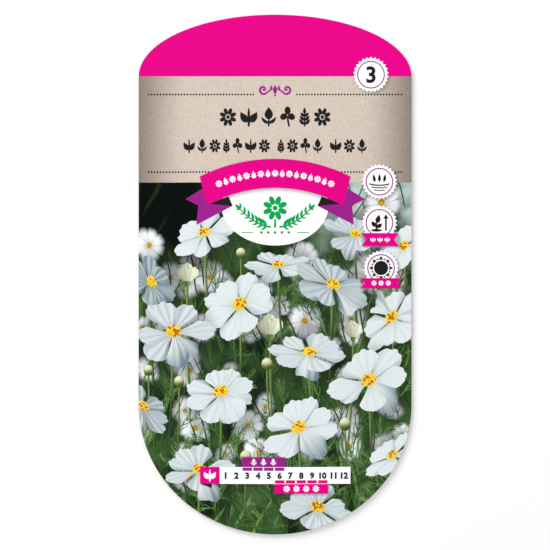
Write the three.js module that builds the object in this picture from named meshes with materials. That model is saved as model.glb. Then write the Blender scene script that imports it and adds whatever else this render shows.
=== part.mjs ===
// A flat seed packet, lying on its back. Two shaped card panels are sealed together round
// their rim, and hold a glassine sachet with loose cosmos seeds.
// Millimetres, +Z up. +Y runs to the head of the packet. The origin is on the surface that
// the packet lies on, under the middle of its outline.

import * as THREE from 'three';
import { mergeVertices } from 'three/addons/utils/BufferGeometryUtils.js';

// Card packet
const PACKET_WIDTH = 84;
const PACKET_HEIGHT = 160;
const HEAD_RISE = 19; // height of the half ellipse that closes the head
const FOOT_DROP = 40; // height of the half ellipse that closes the foot
const CARD = 0.35; // thickness of the card
const SEAL = 5; // width of the flat band where the panels are sealed together
const BACK_SLOPE = 8; // from the seal to the flat belly of the back panel
const FRONT_SLOPE = 26; // from the seal to the crown of the front panel
const BACK_BELLY = 0.9; // how far the back panel's belly lies below the seal
const FRONT_BELLY = 1.75; // how far the front panel's crown stands above the seal
const POCKET_TOP = 36; // above this height the panels draw together
const POCKET_FADE = 24; // and they meet this much further up

// Glassine sachet, which lies on the belly of the back panel
const SACHET_WIDTH = 52;
const SACHET_FOOT = -52;
const SACHET_HEAD = 28;
const SACHET_CORNER = 5;
const GLASSINE = 0.2; // thickness of each web
const SACHET_SEAL = 3.5;
const SACHET_SLOPE = 6;
const SACHET_BELLY = 1.75; // how far the front web stands above its own seal

// Seeds
const SEED_COUNT = 50;
const SEED_SHORTEST = 7.6;
const SEED_LONGEST = 9.8;
const SEED_RADIUS = 0.64;
const SEED_BEND = 9; // radius of the arc that a seed follows
const SEED_SIDES = 8;
const SEED_RINGS = 7;
const SEED_GROOVE = 0.86; // radius of the grooves between the four ribs, as a share
const SEED_BELLY = 0.8; // below 1, a seed is widest nearer its base
const SEED_BLUNTNESS = 0.6; // below 1, a seed's ends are blunter
const SEED_TAPER = 0.35; // how much slimmer a seed is at its beak, as a share
const SEED_SPACING = 1.9; // least distance between the centre lines of two seeds
const SEED_MARGIN = 8; // seeds keep this far inside the sachet's outline
const SEED_SETTLING = 1.35; // above 1, more seeds lie near the foot
const SEED_LIFT = 0.7; // height of a seed's centre line above the web under it
const SEED_DRAW = 7; // start of the random draw

// Facets. Each list holds the depths, in from the outline, at which a sheet gets a ring of
// points. From its last ring to the middle line, a sheet has evenly spaced rings.
const OUTLINE_POINTS = 112;
const SACHET_POINTS = 64;
const BACK_RINGS = [0, 5, 7, 9, 11, 13];
const FRONT_RINGS = [0, 5, 8, 12, 16, 20];
const SACHET_BACK_RINGS = [0, 9.5];
const SACHET_FRONT_RINGS = [0, 3.5, 5, 6.5, 8, 9.5];
const INNER_RINGS = 3;
const SPINE_HALF = PACKET_HEIGHT / 4; // half the length of the packet's spine

const sealPlane = BACK_BELLY + CARD; // where the two panels touch

function material(color, roughness) {
  return new THREE.MeshStandardMaterial({ color, roughness, metalness: 0 });
}

const printedCard = material(0xd9c9bb, 0.5);
const plainCard = material(0xe9e4da, 0.65);
const glassine = material(0xe4dcc6, 0.35);
const seedCoat = material(0x2f241c, 0.8);

function smoothStep(t) {
  return THREE.MathUtils.smoothstep(t, 0, 1);
}

// How much of its full height a panel has at this height up the packet.
function pocketShare(y) {
  return smoothStep((POCKET_TOP + POCKET_FADE - y) / POCKET_FADE);
}

// The packet's outline: a half ellipse at the head, straight sides, and a half ellipse at
// the foot. It starts at the top of the head and runs anticlockwise.
function packetOutline() {
  const half = PACKET_WIDTH / 2;
  const headCentre = PACKET_HEIGHT / 2 - HEAD_RISE;
  const footCentre = FOOT_DROP - PACKET_HEIGHT / 2;
  const shape = new THREE.Path();
  shape.moveTo(0, PACKET_HEIGHT / 2);
  shape.absellipse(0, headCentre, half, HEAD_RISE, Math.PI / 2, Math.PI);
  shape.lineTo(-half, footCentre);
  shape.absellipse(0, footCentre, half, FOOT_DROP, Math.PI, 2 * Math.PI);
  shape.lineTo(half, headCentre);
  shape.absellipse(0, headCentre, half, HEAD_RISE, 0, Math.PI / 2);
  return shape.getSpacedPoints(OUTLINE_POINTS).slice(0, OUTLINE_POINTS);
}

// The sachet's outline: a rectangle with round corners, anticlockwise from the middle of
// its head.
function sachetOutline() {
  const half = SACHET_WIDTH / 2;
  const inner = half - SACHET_CORNER;
  const high = SACHET_HEAD - SACHET_CORNER;
  const low = SACHET_FOOT + SACHET_CORNER;
  const shape = new THREE.Path();
  shape.moveTo(0, SACHET_HEAD);
  shape.lineTo(-inner, SACHET_HEAD);
  shape.absarc(-inner, high, SACHET_CORNER, Math.PI / 2, Math.PI);
  shape.lineTo(-half, low);
  shape.absarc(-inner, low, SACHET_CORNER, Math.PI, 1.5 * Math.PI);
  shape.lineTo(inner, SACHET_FOOT);
  shape.absarc(inner, low, SACHET_CORNER, 1.5 * Math.PI, 2 * Math.PI);
  shape.lineTo(half, high);
  shape.absarc(inner, high, SACHET_CORNER, 0, Math.PI / 2);
  shape.lineTo(0, SACHET_HEAD);
  return shape.getSpacedPoints(SACHET_POINTS).slice(0, SACHET_POINTS);
}

// For each outline point, the point of the spine that it steps in to. The spine lies on
// the middle line, and the left and right sides share its points.
function spineFor(outline, low, high) {
  const half = outline.length / 2;
  return outline.map((_, i) => {
    const along = (i <= half ? i : outline.length - i) / half;
    return new THREE.Vector2(0, THREE.MathUtils.lerp(high, low, along));
  });
}

// How far each outline point is from its spine point, square to the outline.
function reachOf(outline, spine) {
  const count = outline.length;
  return outline.map((point, i) => {
    const along = outline[(i + 1) % count].clone().sub(outline[(i + count - 1) % count]);
    const outwards = new THREE.Vector2(along.y, -along.x).normalize();
    return point.clone().sub(spine[i]).dot(outwards);
  });
}

// Joins each ring of points to the next, where both rings have the same number of points.
function joinRings(index, ringA, ringB, count) {
  for (let i = 0; i < count; i++) {
    const next = (i + 1) % count;
    index.push(ringA + i, ringA + next, ringB + next);
    index.push(ringA + i, ringB + next, ringB + i);
  }
}

function closedGeometry(positions, index) {
  const geometry = new THREE.BufferGeometry();
  geometry.setAttribute('position', new THREE.Float32BufferAttribute(positions, 3));
  geometry.setIndex(index);
  const merged = mergeVertices(geometry, 1e-4);
  const kept = [];
  const corners = merged.index.array;
  for (let i = 0; i < corners.length; i += 3) {
    const [a, b, c] = corners.slice(i, i + 3);
    if (a !== b && b !== c && c !== a) kept.push(a, b, c);
  }
  merged.setIndex(kept);
  merged.computeVertexNormals();
  return merged;
}

// A thin sheet of even thickness. Rings of points step in from the outline to the spine,
// at the given depths first and then evenly. lowerFace(depth, y) is the height of its
// lower face.
function sheetGeometry(outline, spine, depths, lowerFace, thickness) {
  const count = outline.length;
  const reach = reachOf(outline, spine);
  const deepest = depths[depths.length - 1];
  const positions = [];
  const ringAt = (shareOf, depthOf, lift) => {
    const start = positions.length / 3;
    outline.forEach((point, i) => {
      const share = shareOf(i);
      const place = point.clone().lerp(spine[i], share);
      positions.push(place.x, place.y, lowerFace(depthOf(i, share), place.y) + lift);
    });
    return start;
  };
  const faceRings = (lift) => {
    const stepped = depths.map((d) => ringAt((i) => d / reach[i], () => d, lift));
    const inner = Array.from({ length: INNER_RINGS }, (_, k) => {
      const shareOf = (i) => THREE.MathUtils.lerp(deepest / reach[i], 1, (k + 1) / INNER_RINGS);
      return ringAt(shareOf, (i, share) => share * reach[i], lift);
    });
    return [...stepped, ...inner];
  };
  const upper = faceRings(thickness);
  const lower = faceRings(0);
  const index = [];
  for (let k = 1; k < upper.length; k++) {
    joinRings(index, upper[k - 1], upper[k], count);
    joinRings(index, lower[k], lower[k - 1], count);
  }
  joinRings(index, lower[0], upper[0], count);
  return closedGeometry(positions, index);
}

function named(name, geometry, finish) {
  const mesh = new THREE.Mesh(geometry, finish);
  mesh.name = name;
  return mesh;
}

// The two card panels. The back one dips to a flat belly that the packet lies on, and the
// front one is crowned like a pillow. Their rims touch at the seal.
function cardPanels() {
  const outline = packetOutline();
  const spine = spineFor(outline, -SPINE_HALF, SPINE_HALF);
  const dip = (depth, y) =>
    BACK_BELLY * (1 - smoothStep((depth - SEAL) / BACK_SLOPE) * pocketShare(y));
  const crown = (depth, y) => {
    const climb = THREE.MathUtils.clamp((depth - SEAL) / FRONT_SLOPE, 0, 1);
    return sealPlane + FRONT_BELLY * Math.sin((climb * Math.PI) / 2) * pocketShare(y);
  };
  const back = sheetGeometry(outline, spine, BACK_RINGS, dip, CARD);
  const front = sheetGeometry(outline, spine, FRONT_RINGS, crown, CARD);
  return [named('back_panel', back, plainCard), named('front_panel', front, printedCard)];
}

// The sachet's two glassine webs. The back one lies flat on the card, and the front one
// rises over the seeds.
function sachetWebs() {
  const outline = sachetOutline();
  const inset = SACHET_WIDTH / 2;
  const spine = spineFor(outline, SACHET_FOOT + inset, SACHET_HEAD - inset);
  const flat = () => CARD;
  const raised = (depth) =>
    CARD + GLASSINE + SACHET_BELLY * smoothStep((depth - SACHET_SEAL) / SACHET_SLOPE);
  const back = sheetGeometry(outline, spine, SACHET_BACK_RINGS, flat, GLASSINE);
  const front = sheetGeometry(outline, spine, SACHET_FRONT_RINGS, raised, GLASSINE);
  return [named('sachet_back', back, glassine), named('sachet_front', front, glassine)];
}

// A seed's centre line at a share of its length: a circular arc in the XY plane.
function seedLine(length, share) {
  const turn = ((share - 0.5) * length) / SEED_BEND;
  const sag = SEED_BEND * (1 - Math.cos(turn));
  return { x: SEED_BEND * Math.sin(turn), y: sag, turn };
}

// A seed's radius at a share of its length: full at the base, and drawn out to a beak.
function seedRadius(share) {
  const body = Math.sin(Math.PI * Math.pow(share, SEED_BELLY));
  return SEED_RADIUS * Math.pow(body, SEED_BLUNTNESS) * (1 - SEED_TAPER * share);
}

// One seed: a four-ribbed spindle that follows its centre line, closed by a point at each
// end.
function seedGeometry(length) {
  const positions = [];
  const index = [];
  const addPoint = ({ x, y }) => {
    positions.push(x, y, 0);
    return positions.length / 3 - 1;
  };
  const base = addPoint(seedLine(length, 0));
  const rings = Array.from({ length: SEED_RINGS }, (_, k) => {
    const share = (k + 1) / (SEED_RINGS + 1);
    const { x, y, turn } = seedLine(length, share);
    const start = positions.length / 3;
    for (let side = 0; side < SEED_SIDES; side++) {
      const angle = ((side + 0.5) / SEED_SIDES) * 2 * Math.PI;
      const radius = seedRadius(share) * (side % 2 ? SEED_GROOVE : 1);
      const across = radius * Math.cos(angle);
      positions.push(x - across * Math.sin(turn), y + across * Math.cos(turn));
      positions.push(radius * Math.sin(angle));
    }
    return start;
  });
  const tip = addPoint(seedLine(length, 1));
  for (let k = 1; k < rings.length; k++) joinRings(index, rings[k - 1], rings[k], SEED_SIDES);
  for (let side = 0; side < SEED_SIDES; side++) {
    const next = (side + 1) % SEED_SIDES;
    index.push(base, rings[0] + next, rings[0] + side);
    index.push(tip, rings[SEED_RINGS - 1] + side, rings[SEED_RINGS - 1] + next);
  }
  return closedGeometry(positions, index);
}

// A repeatable random draw from 0 to 1.
function drawFrom(start) {
  let state = start;
  return () => {
    state = (state + 0x6d2b79f5) | 0;
    let t = Math.imul(state ^ (state >>> 15), 1 | state);
    t = (t + Math.imul(t ^ (t >>> 7), 61 | t)) ^ t;
    return ((t ^ (t >>> 14)) >>> 0) / 4294967296;
  };
}

// Points along a placed seed, which stand for it when the next one looks for room.
function seedPoints({ x, y, turn, length }) {
  return Array.from({ length: 9 }, (_, i) => {
    const on = seedLine(length, i / 8);
    return new THREE.Vector2(on.x, on.y)
      .rotateAround(new THREE.Vector2(), turn)
      .add(new THREE.Vector2(x, y));
  });
}

// The seeds, scattered in one layer on the sachet's back web, none across another.
function seeds() {
  const draw = drawFrom(SEED_DRAW);
  const half = SACHET_WIDTH / 2 - SEED_MARGIN;
  const low = SACHET_FOOT + SEED_MARGIN;
  const high = SACHET_HEAD - SEED_MARGIN;
  const laid = [];
  const taken = [];
  while (laid.length < SEED_COUNT) {
    const seed = {
      x: (2 * draw() - 1) * half,
      y: low + (high - low) * Math.pow(draw(), SEED_SETTLING),
      turn: draw() * 2 * Math.PI,
      length: THREE.MathUtils.lerp(SEED_SHORTEST, SEED_LONGEST, draw()),
    };
    const points = seedPoints(seed);
    const inside = points.every((p) => Math.abs(p.x) < half && p.y > low && p.y < high);
    const clear = taken.every((p) => points.every((q) => p.distanceTo(q) > SEED_SPACING));
    if (inside && clear) {
      laid.push(seed);
      taken.push(...points);
    }
  }
  return laid.map((seed, i) => {
    const name = 'seed_' + String(i + 1).padStart(2, '0');
    const mesh = named(name, seedGeometry(seed.length), seedCoat);
    mesh.position.set(seed.x, seed.y, CARD + GLASSINE + SEED_LIFT);
    mesh.rotation.z = seed.turn;
    return mesh;
  });
}

const packet = new THREE.Group();
packet.name = 'seed_packet';
packet.add(...cardPanels(), ...sachetWebs(), ...seeds());

export default packet;
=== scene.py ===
"""Seed packet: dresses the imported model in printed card, with thin films of ink, on a pale studio floor.

Lengths in the layout are in millimetres, with x to the right of the print and y towards its head. Meshes
are in metres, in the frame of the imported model.
"""

import math

import bpy
import numpy as np
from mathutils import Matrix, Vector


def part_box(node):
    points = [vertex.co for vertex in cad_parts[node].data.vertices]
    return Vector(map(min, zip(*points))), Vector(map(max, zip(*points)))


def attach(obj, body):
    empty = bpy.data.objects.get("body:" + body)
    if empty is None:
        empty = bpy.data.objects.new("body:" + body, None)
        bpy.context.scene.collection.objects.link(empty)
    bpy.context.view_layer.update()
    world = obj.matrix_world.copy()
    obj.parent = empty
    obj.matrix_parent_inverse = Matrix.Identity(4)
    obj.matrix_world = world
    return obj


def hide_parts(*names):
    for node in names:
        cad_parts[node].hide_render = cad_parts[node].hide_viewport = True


bl_info = {
    "name": "Seed packet",
    "version": (1, 0, 0),
    "blender": (4, 5, 0),
    "location": "3D View > Sidebar > Seed packet",
    "description": "Dresses a shaped card seed packet: its cards, its inks, its seeds and its studio",
    "category": "Object",
}

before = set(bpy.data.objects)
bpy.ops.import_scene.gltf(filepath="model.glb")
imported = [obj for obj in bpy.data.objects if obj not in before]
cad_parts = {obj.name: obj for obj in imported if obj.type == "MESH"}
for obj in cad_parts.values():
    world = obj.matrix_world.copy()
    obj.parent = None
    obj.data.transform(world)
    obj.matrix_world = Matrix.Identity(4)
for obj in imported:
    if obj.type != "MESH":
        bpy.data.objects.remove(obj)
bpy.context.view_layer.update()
MM = 0.001


def in_mm(node):
    """The lowest and highest corner of a CAD node, in millimetres."""
    return [np.array(corner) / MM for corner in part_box(node)]


# --------------------------------------------------------------------------- sizes of the packet
FRONT_LOW, FRONT_HIGH = in_mm("front_panel")
HALF_WIDTH = FRONT_HIGH[0]
TOP = FRONT_HIGH[1]
BOTTOM = FRONT_LOW[1]
SEAM = in_mm("back_panel")[1][2]  # height of the plane where the two cards are glued together
CARD = in_mm("sachet_back")[0][2]  # thickness of a card: the sachet lies on the back one
HEAD_RISE = 19.0  # height of the half ellipse at the head
FOOT_DROP = 40.0  # height of the half ellipse at the foot
HEAD_Y = TOP - HEAD_RISE
FOOT_Y = BOTTOM + FOOT_DROP
SEAL = 5.0  # width of the glued rim
FRONT_SLOPE = 26.0  # from the rim to the crown
BACK_SLOPE = 8.0  # from the rim to the flat belly
POCKET_END = 60.0  # above this height the two cards lie together
POCKET_FADE = 24.0  # and they draw together over this distance below it
INK = 0.02  # thickness of one film of ink
SHADOW = (0.0, 0.0, 0.0, 1.0)
SHADOW_SHIFT = 0.4  # how far a badge's printed shadow lies down and to the right
OVER = 5.5  # the picture's own films, its leaves and petals, lie between level 1 and this one
LABEL_STEP = 0.5  # levels between two films of a badge, of the banner or of the calendar
SHAPE_STEP = 0.06  # and between two shapes of one layer
SHAPE_LAYERS = 5  # after which the steps begin again
SHAPE_APART = 0.0003  # and this much more for each shape, so that no two lie in one plane
FRONT_LEVELS = 9  # the most films that lie over each other on the front
BACK_LEVELS = 3
CROWN = FRONT_HIGH[2] - SEAM - CARD - FRONT_LEVELS * INK
GRID = 1.2  # side of a large film's cells
COLUMNS = 71  # points across the packet in a large film
ARC_ROWS = 46  # rows of points round the head's and round the foot's half ellipse

# --------------------------------------------------------------------------- layout of the print
LINEN_FOOT = 28.3  # the linen panel runs from here up to the head's field
LINEN_HEAD = HEAD_Y
DOT_REACH = 38.9  # how far out from the middle the two dotted lines begin
DOT_PITCH = 0.92
DOT_RADIUS = 0.29
UPPER_DOTS = (55.4, 6.6)  # height, and the free width on each side of the middle
LOWER_DOTS = (31.5, 19.8)
UPPER_ORNAMENTS = (48.4, 17.0, 2.95, "fsbclf", 0.92)  # height, reach, size, marks, how much they are squeezed
LOWER_ORNAMENTS = (39.5, 28.2, 2.2, "sbflcsf  lfcb  sfb", 0.82)
FLOURISH = (0.0, 56.9)
BADGE_RADIUS = 5.5
BADGE_TEETH = 26
TOOTH_DEPTH = 0.6
BADGE_RING = 4.09
RING_HALF_WIDTH = 0.17
NUMBER_BADGE = (29.5, 61.5)
SEED_BADGE = (32.1, 28.55)
HEIGHT_BADGE = (32.1, 15.9)
SUN_BADGE = (32.6, 2.0)
BADGES = (NUMBER_BADGE, SEED_BADGE, HEIGHT_BADGE, SUN_BADGE)
SHADOW_LIGHT = (0.6, 0.4, 0.4, 0.4)  # the light that is left in the printed shadow of each badge
DIGIT_HEIGHT = 5.2
HEIGHT_RIBBON = (26.55, 38.05, 8.7, 12.75)  # left, right, foot, head
SUN_RIBBON = (26.15, 39.05, -4.2, -1.1)
RIBBON_NOTCH = 1.45
RIBBON_MARK = 0.85  # size of the marks on a ribbon
RIBBON_PITCH = 2.2
BANNER_CENTRE = -17.0
BANNER_RADII = (43.6, 52.5)
BANNER_HALF_ANGLES = (math.radians(28.3), math.radians(26.2))  # to its ends, along the foot and the head
BANNER_BEADS = 8  # ornaments on each side of the banner's middle
BANNER_BEAD_ANGLE = math.radians(21.0)
TAIL_ROOT = (16.0, 23.4)  # corners of the banner's right tail: the root and the notch part it in two
TAIL_NOTCH = (23.6, 21.2)
TAIL_UPPER = ((22.2, 26.5), (27.6, 23.2))
TAIL_LOWER = ((24.2, 15.3), (13.2, 21.0))
FOLD = ((20.0, 21.7), (14.3, 24.0), (13.0, 21.0))  # the dark fold between the banner and its right tail
PLATE_CENTRE = 21.5
PLATE_RADII = (16.5, 12.6)
PLATE_FLOWER = (20.4, 3.9)  # height and size of the flower on the plate
PLATE_RULE = (6.8, 10.4, 12.75, 13.0)  # left, right, foot, head
PLATE_DOTS = (12.9, 2.1, 0.42)  # height, pitch and radius
SPRIG_LEAVES = 7  # pairs of leaves along each of the two branches on the plate
MONTH_PITCH = 3.32
FIRST_MONTH = -15.2
MONTH_HEIGHT = 2.05  # of the numbers
TICK = (2.9, 0.98)  # width and height of the bar over or under a month
SOWING_MONTHS = range(3, 7)
FLOWERING_MONTHS = range(6, 11)
CALENDAR = (-17.05, 23.2, -64.4, -59.15)  # left, right, foot, head
CODE_BOX = (-23.1, -17.05, -64.4, -59.15)
SOWING_BOX = (-10.2, 3.1, -59.15, -56.1)
FLOWERING_BOX = (-0.2, 16.3, -67.4, -64.4)
BOX_PITCH = 3.0  # between the marks in a box
BOX_MARK = 0.36  # size of such a mark, as a share of the box's height
LABEL_BARS = (HEIGHT_RIBBON, SUN_RIBBON, CALENDAR, CODE_BOX, SOWING_BOX, FLOWERING_BOX)
BACK_MARGIN = 3.0  # bare card round the print on the back
BACK_FOOT = 16.0  # height of the coloured foot there
RULES = (-54.0, 22.0, 3.4)  # lowest, highest, pitch
RULE_GAP = (-14.0, -6.0)  # no rule lies between these heights
RULE_REACH = 30.0
RULE_WIDTH = 0.35
BACK_MARKS = (44.0, 16.0, 4.6)  # height, pitch and size


def srgb(red, green, blue):
    """A display colour from 0 to 255 as linear light, with full alpha."""
    parts = [value / 255 for value in (red, green, blue)]
    linear = [v / 12.92 if v <= 0.04045 else ((v + 0.055) / 1.055) ** 2.4 for v in parts]
    return (*linear, 1.0)


# --------------------------------------------------------------------------- the shape of the cards
def smooth(t):
    """Rises from 0 to 1 with level ends: 3t² - 2t³."""
    t = np.clip(t, 0, 1)
    return t * t * (3 - 2 * t)


def depth_in(x, y):
    """How far a point lies in from the outline.

    The half width times what is left to 1 of the length of (x, drop, rise), where x is a share of the half
    width, and drop and rise are how far the point is into the foot's or the head's half ellipse.
    """
    drop = np.clip((FOOT_Y - y) / FOOT_DROP, 0, None)
    rise = np.clip((y - HEAD_Y) / HEAD_RISE, 0, None)
    return HALF_WIDTH * (1 - np.sqrt((x / HALF_WIDTH) ** 2 + drop**2 + rise**2))


def pocket(y):
    """The share of its full height that a card has at this height up the packet."""
    return smooth((POCKET_END - y) / POCKET_FADE)


def front_height(x, y):
    """The front card's upper face: level at the glued rim, and crowned like a pillow inside it."""
    return SEAM + CARD + CROWN * smooth((depth_in(x, y) - SEAL) / FRONT_SLOPE) * pocket(y)


def front_inner_height(x, y):
    """The front card's lower face, one thickness of card under its upper one."""
    return front_height(x, y) - CARD


def back_height(x, y):
    """The back card's lower face: level at the glued rim, and dipping to a flat belly inside it."""
    rim = SEAM - CARD
    ink = BACK_LEVELS * INK
    return ink + rim * (1 - smooth((depth_in(x, y) - SEAL) / BACK_SLOPE) * pocket(y))


def back_inner_height(x, y):
    """The back card's upper face: a thickness of card over its lower one, less what the ink takes up."""
    return back_height(x, y) + CARD - BACK_LEVELS * INK


def outline_rows(low, high):
    """Heights of the rows that cross the packet: even steps along the straight sides, and even angles
    round the two half ellipses, so that the outline keeps its curve."""
    turn = np.linspace(0, math.pi / 2, ARC_ROWS)
    foot = FOOT_Y - FOOT_DROP * np.sin(turn[::-1])
    sides = np.arange(FOOT_Y + GRID, HEAD_Y - GRID / 2, GRID)
    head = HEAD_Y + HEAD_RISE * np.sin(turn)
    rows = np.concatenate([foot, sides, head])
    inside = rows[(rows > low + 0.01) & (rows < high - 0.01)]
    return np.concatenate([[low], inside, [high]])


def across(low, high, inset=0.0):
    """A grid over the packet between two heights: each row runs from one edge of the card to the other.

    With an inset, it stops short of the outline by about that much, in proportion.
    """
    y = outline_rows(low, high)[:, None]
    drop = np.clip((FOOT_Y - y) / FOOT_DROP, 0, 1)
    rise = np.clip((y - HEAD_Y) / HEAD_RISE, 0, 1)
    reach = HALF_WIDTH * np.sqrt(1 - drop**2 - rise**2)
    share = 1 - inset / HALF_WIDTH
    middle = (TOP + BOTTOM) / 2
    x = share * np.linspace(-1, 1, COLUMNS)[None, :] * reach
    return x, middle + share * np.repeat(y - middle, COLUMNS, axis=1)


# --------------------------------------------------------------------------- flat shapes, as grids
def rectangle(left, right, low, high, step=GRID):
    """A grid of even cells between two corners."""
    x = np.linspace(left, right, max(2, round((right - left) / step) + 1))
    y = np.linspace(low, high, max(2, round((high - low) / step) + 1))
    return np.meshgrid(x, y)


def round_shape(x, y, radius, spokes, inner=0.0, rings=2, stretch=1.0):
    """A ring or disc: radius is a number or a function of the angle, and inner a share of it."""
    angle = np.linspace(0, 2 * math.pi, spokes + 1)[None, :]
    share = np.linspace(inner, 1, rings)[:, None]
    reach = share * (radius(angle) if callable(radius) else radius)
    return x + reach * np.cos(angle), y + reach * np.sin(angle) * stretch


def toothed(radius, teeth, bite):
    """A radius for round_shape that zigzags between radius and radius less bite."""
    return lambda angle: radius - bite * np.abs(2 * ((angle * teeth / (2 * math.pi)) % 1) - 1)


def arc_band(x, y, inner, outer, inner_reach, outer_reach, columns=49, rings=9):
    """A band between two circles, about straight up, and the angle that each reaches to either side."""
    share = np.linspace(-1, 1, columns)[None, :]
    angle = share * np.linspace(inner_reach, outer_reach, rings)[:, None]
    radius = np.linspace(inner, outer, rings)[:, None]
    return x + radius * np.sin(angle), y + radius * np.cos(angle)


def stroke(x, y, half_width, columns=3):
    """A brush stroke: each point of the path is moved to its two sides, along the path's normal."""
    x, y = np.asarray(x, float), np.asarray(y, float)
    run, climb = np.gradient(x), np.gradient(y)
    length = np.hypot(run, climb)
    side = np.linspace(-1, 1, columns)[None, :] * np.broadcast_to(half_width, x.shape)[:, None]
    return x[:, None] - side * (climb / length)[:, None], y[:, None] + side * (run / length)[:, None]


def leaf(x, y, length, width, turn, bend=0.0, rows=11):
    """A leaf: a stroke along an arc, whose width rises and falls as a sine with a fuller base."""
    t = np.linspace(0, 1, rows)
    heading = turn + bend * (t - 0.5)
    step = length / (rows - 1)
    path_x = x + np.concatenate([[0], np.cumsum(np.cos(heading[1:]) * step)])
    path_y = y + np.concatenate([[0], np.cumsum(np.sin(heading[1:]) * step)])
    return stroke(path_x, path_y, width / 2 * np.sin(math.pi * t**0.8) + 0.001)


def spun(shape, x, y, angle=0.0):
    """A shape turned about the origin and then moved to (x, y)."""
    sx, sy = shape
    c, s = math.cos(angle), math.sin(angle)
    return x + sx * c - sy * s, y + sx * s + sy * c


def triangle(a, b, c, rows=4):
    """A triangle, as a grid whose last row closes to a point."""
    t = np.linspace(0, 1, rows)[:, None]
    s = np.linspace(0, 1, rows)[None, :]
    corner = [np.array(p, float) for p in (a, b, c)]
    return tuple(
        (corner[0][k] * (1 - s) + corner[1][k] * s) * (1 - t) + corner[2][k] * t for k in (0, 1)
    )


def four_sided(a, b, c, d, rows=13, columns=13):
    """A patch between four corners, given in order round it."""
    t = np.linspace(0, 1, rows)[:, None]
    s = np.linspace(0, 1, columns)[None, :]
    return tuple(
        (a[k] * (1 - s) + b[k] * s) * (1 - t) + (d[k] * (1 - s) + c[k] * s) * t for k in (0, 1)
    )


# --------------------------------------------------------------------------- films
TONES = "print colour"  # the attribute that holds the colours of the picture's petals and leaves
SHARP = math.radians(30)  # edges that turn by more than this aren't shaded smooth


def welded(x, y):
    """The points of a grid without repeats, the first place of each, and the grid of their numbers."""
    flat = np.round(np.column_stack([x.ravel(), y.ravel()]), 4)
    points, first, place = np.unique(flat, axis=0, return_index=True, return_inverse=True)
    return points, first, place.reshape(x.shape)


def corners_of(index):
    """Two triangles for each cell of a grid of point numbers, without those that have no area."""
    a, b, c, d = (part.ravel() for part in (index[:-1, :-1], index[:-1, 1:], index[1:, 1:], index[1:, :-1]))
    corners = np.concatenate([np.column_stack([a, b, c]), np.column_stack([a, c, d])])
    p, q, r = corners.T
    return corners[(p != q) & (q != r) & (r != p)]


def triangles_of(x, y):
    """The points of a grid, welded where they meet, and its triangles, wound to face up."""
    points, _, index = welded(x, y)
    return points, wound_up(points, corners_of(index))


def wound_up(points, corners):
    """The same triangles, all turned over if together they face down."""
    p, q, r = (points[corners[:, k]] for k in range(3))
    area = np.sum((q[:, 0] - p[:, 0]) * (r[:, 1] - p[:, 1]) - (q[:, 1] - p[:, 1]) * (r[:, 0] - p[:, 0]))
    return corners if area > 0 else corners[:, ::-1]


def closed_sheet(points, corners, upper, lower):
    """Upper and lower faces from flat triangles, and a wall along each edge that only one of them has."""
    count = len(points)
    top = np.column_stack([points, upper(points[:, 0], points[:, 1])])
    under = np.column_stack([points, lower(points[:, 0], points[:, 1])])
    edges = np.concatenate([corners[:, [0, 1]], corners[:, [1, 2]], corners[:, [2, 0]]])
    code = edges[:, 0] * count + edges[:, 1]
    partner = edges[:, 1] * count + edges[:, 0]
    a, b = edges[~np.isin(code, partner)].T
    walls = np.concatenate(
        [np.column_stack([b, a, a + count]), np.column_stack([b, a + count, b + count])]
    )
    return np.concatenate([top, under]), np.concatenate([corners, corners[:, ::-1] + count, walls])


def new_piece(name, parts, materials, tones=None):
    """One object from (points in millimetres, triangles, material number) parts, riding on the packet.

    tones, if given, holds a colour for each point, kept as the attribute that print_surface reads.
    """
    start = 0
    all_points, all_corners, numbers = [], [], []
    for points, corners, number in parts:
        all_points.append(points)
        all_corners.append(corners + start)
        numbers.append(np.full(len(corners), number))
        start += len(points)
    points = np.concatenate(all_points) * MM
    corners = np.concatenate(all_corners)
    mesh = bpy.data.meshes.new(name)
    mesh.vertices.add(len(points))
    mesh.loops.add(corners.size)
    mesh.polygons.add(len(corners))
    mesh.vertices.foreach_set("co", points.ravel())
    mesh.loops.foreach_set("vertex_index", corners.ravel())
    mesh.polygons.foreach_set("loop_start", np.arange(0, corners.size, 3))
    mesh.polygons.foreach_set("material_index", np.concatenate(numbers))
    mesh.polygons.foreach_set("use_smooth", np.ones(len(corners), bool))
    for material in materials:
        mesh.materials.append(material)
    mesh.update(calc_edges=True)
    mesh.validate()
    if tones is not None:
        colours = mesh.attributes.new(TONES, "FLOAT_COLOR", "POINT")
        colours.data.foreach_set("color", np.column_stack([tones, np.ones(len(tones))]).ravel())
    mesh.set_sharp_from_angle(angle=SHARP)
    piece = bpy.data.objects.new(name, mesh)
    bpy.context.scene.collection.objects.link(piece)
    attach(piece, "root")
    return piece


def on_front(level, base):
    """The upper and lower height of a film of ink on the front, between two levels."""
    return (
        lambda x, y: front_height(x, y) + level * INK,
        lambda x, y: front_height(x, y) + base * INK,
    )


def label(number):
    """The level of a badge's, the banner's or the calendar's films, counted up from the picture."""
    return OVER + number * LABEL_STEP


def on_back(level, base):
    """The upper and lower height of a film on the back, which is printed on its under side."""
    return (
        lambda x, y: back_height(x, y) - base * INK,
        lambda x, y: back_height(x, y) - level * INK,
    )


def films(name, layers, materials, side=on_front, base=1):
    """One piece of many films. Each layer is (level, material number, shapes).

    Shapes that follow each other in a layer may overlap, so each is raised a little over the last.
    """
    parts = []
    for level, number, shapes in layers:
        for index, shape in enumerate(shapes):
            points, corners = triangles_of(*shape)
            rise = SHAPE_STEP * (index % SHAPE_LAYERS) + SHAPE_APART * index
            parts.append((*closed_sheet(points, corners, *side(level + rise, base)), number))
    return new_piece(name, parts, materials)


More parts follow.
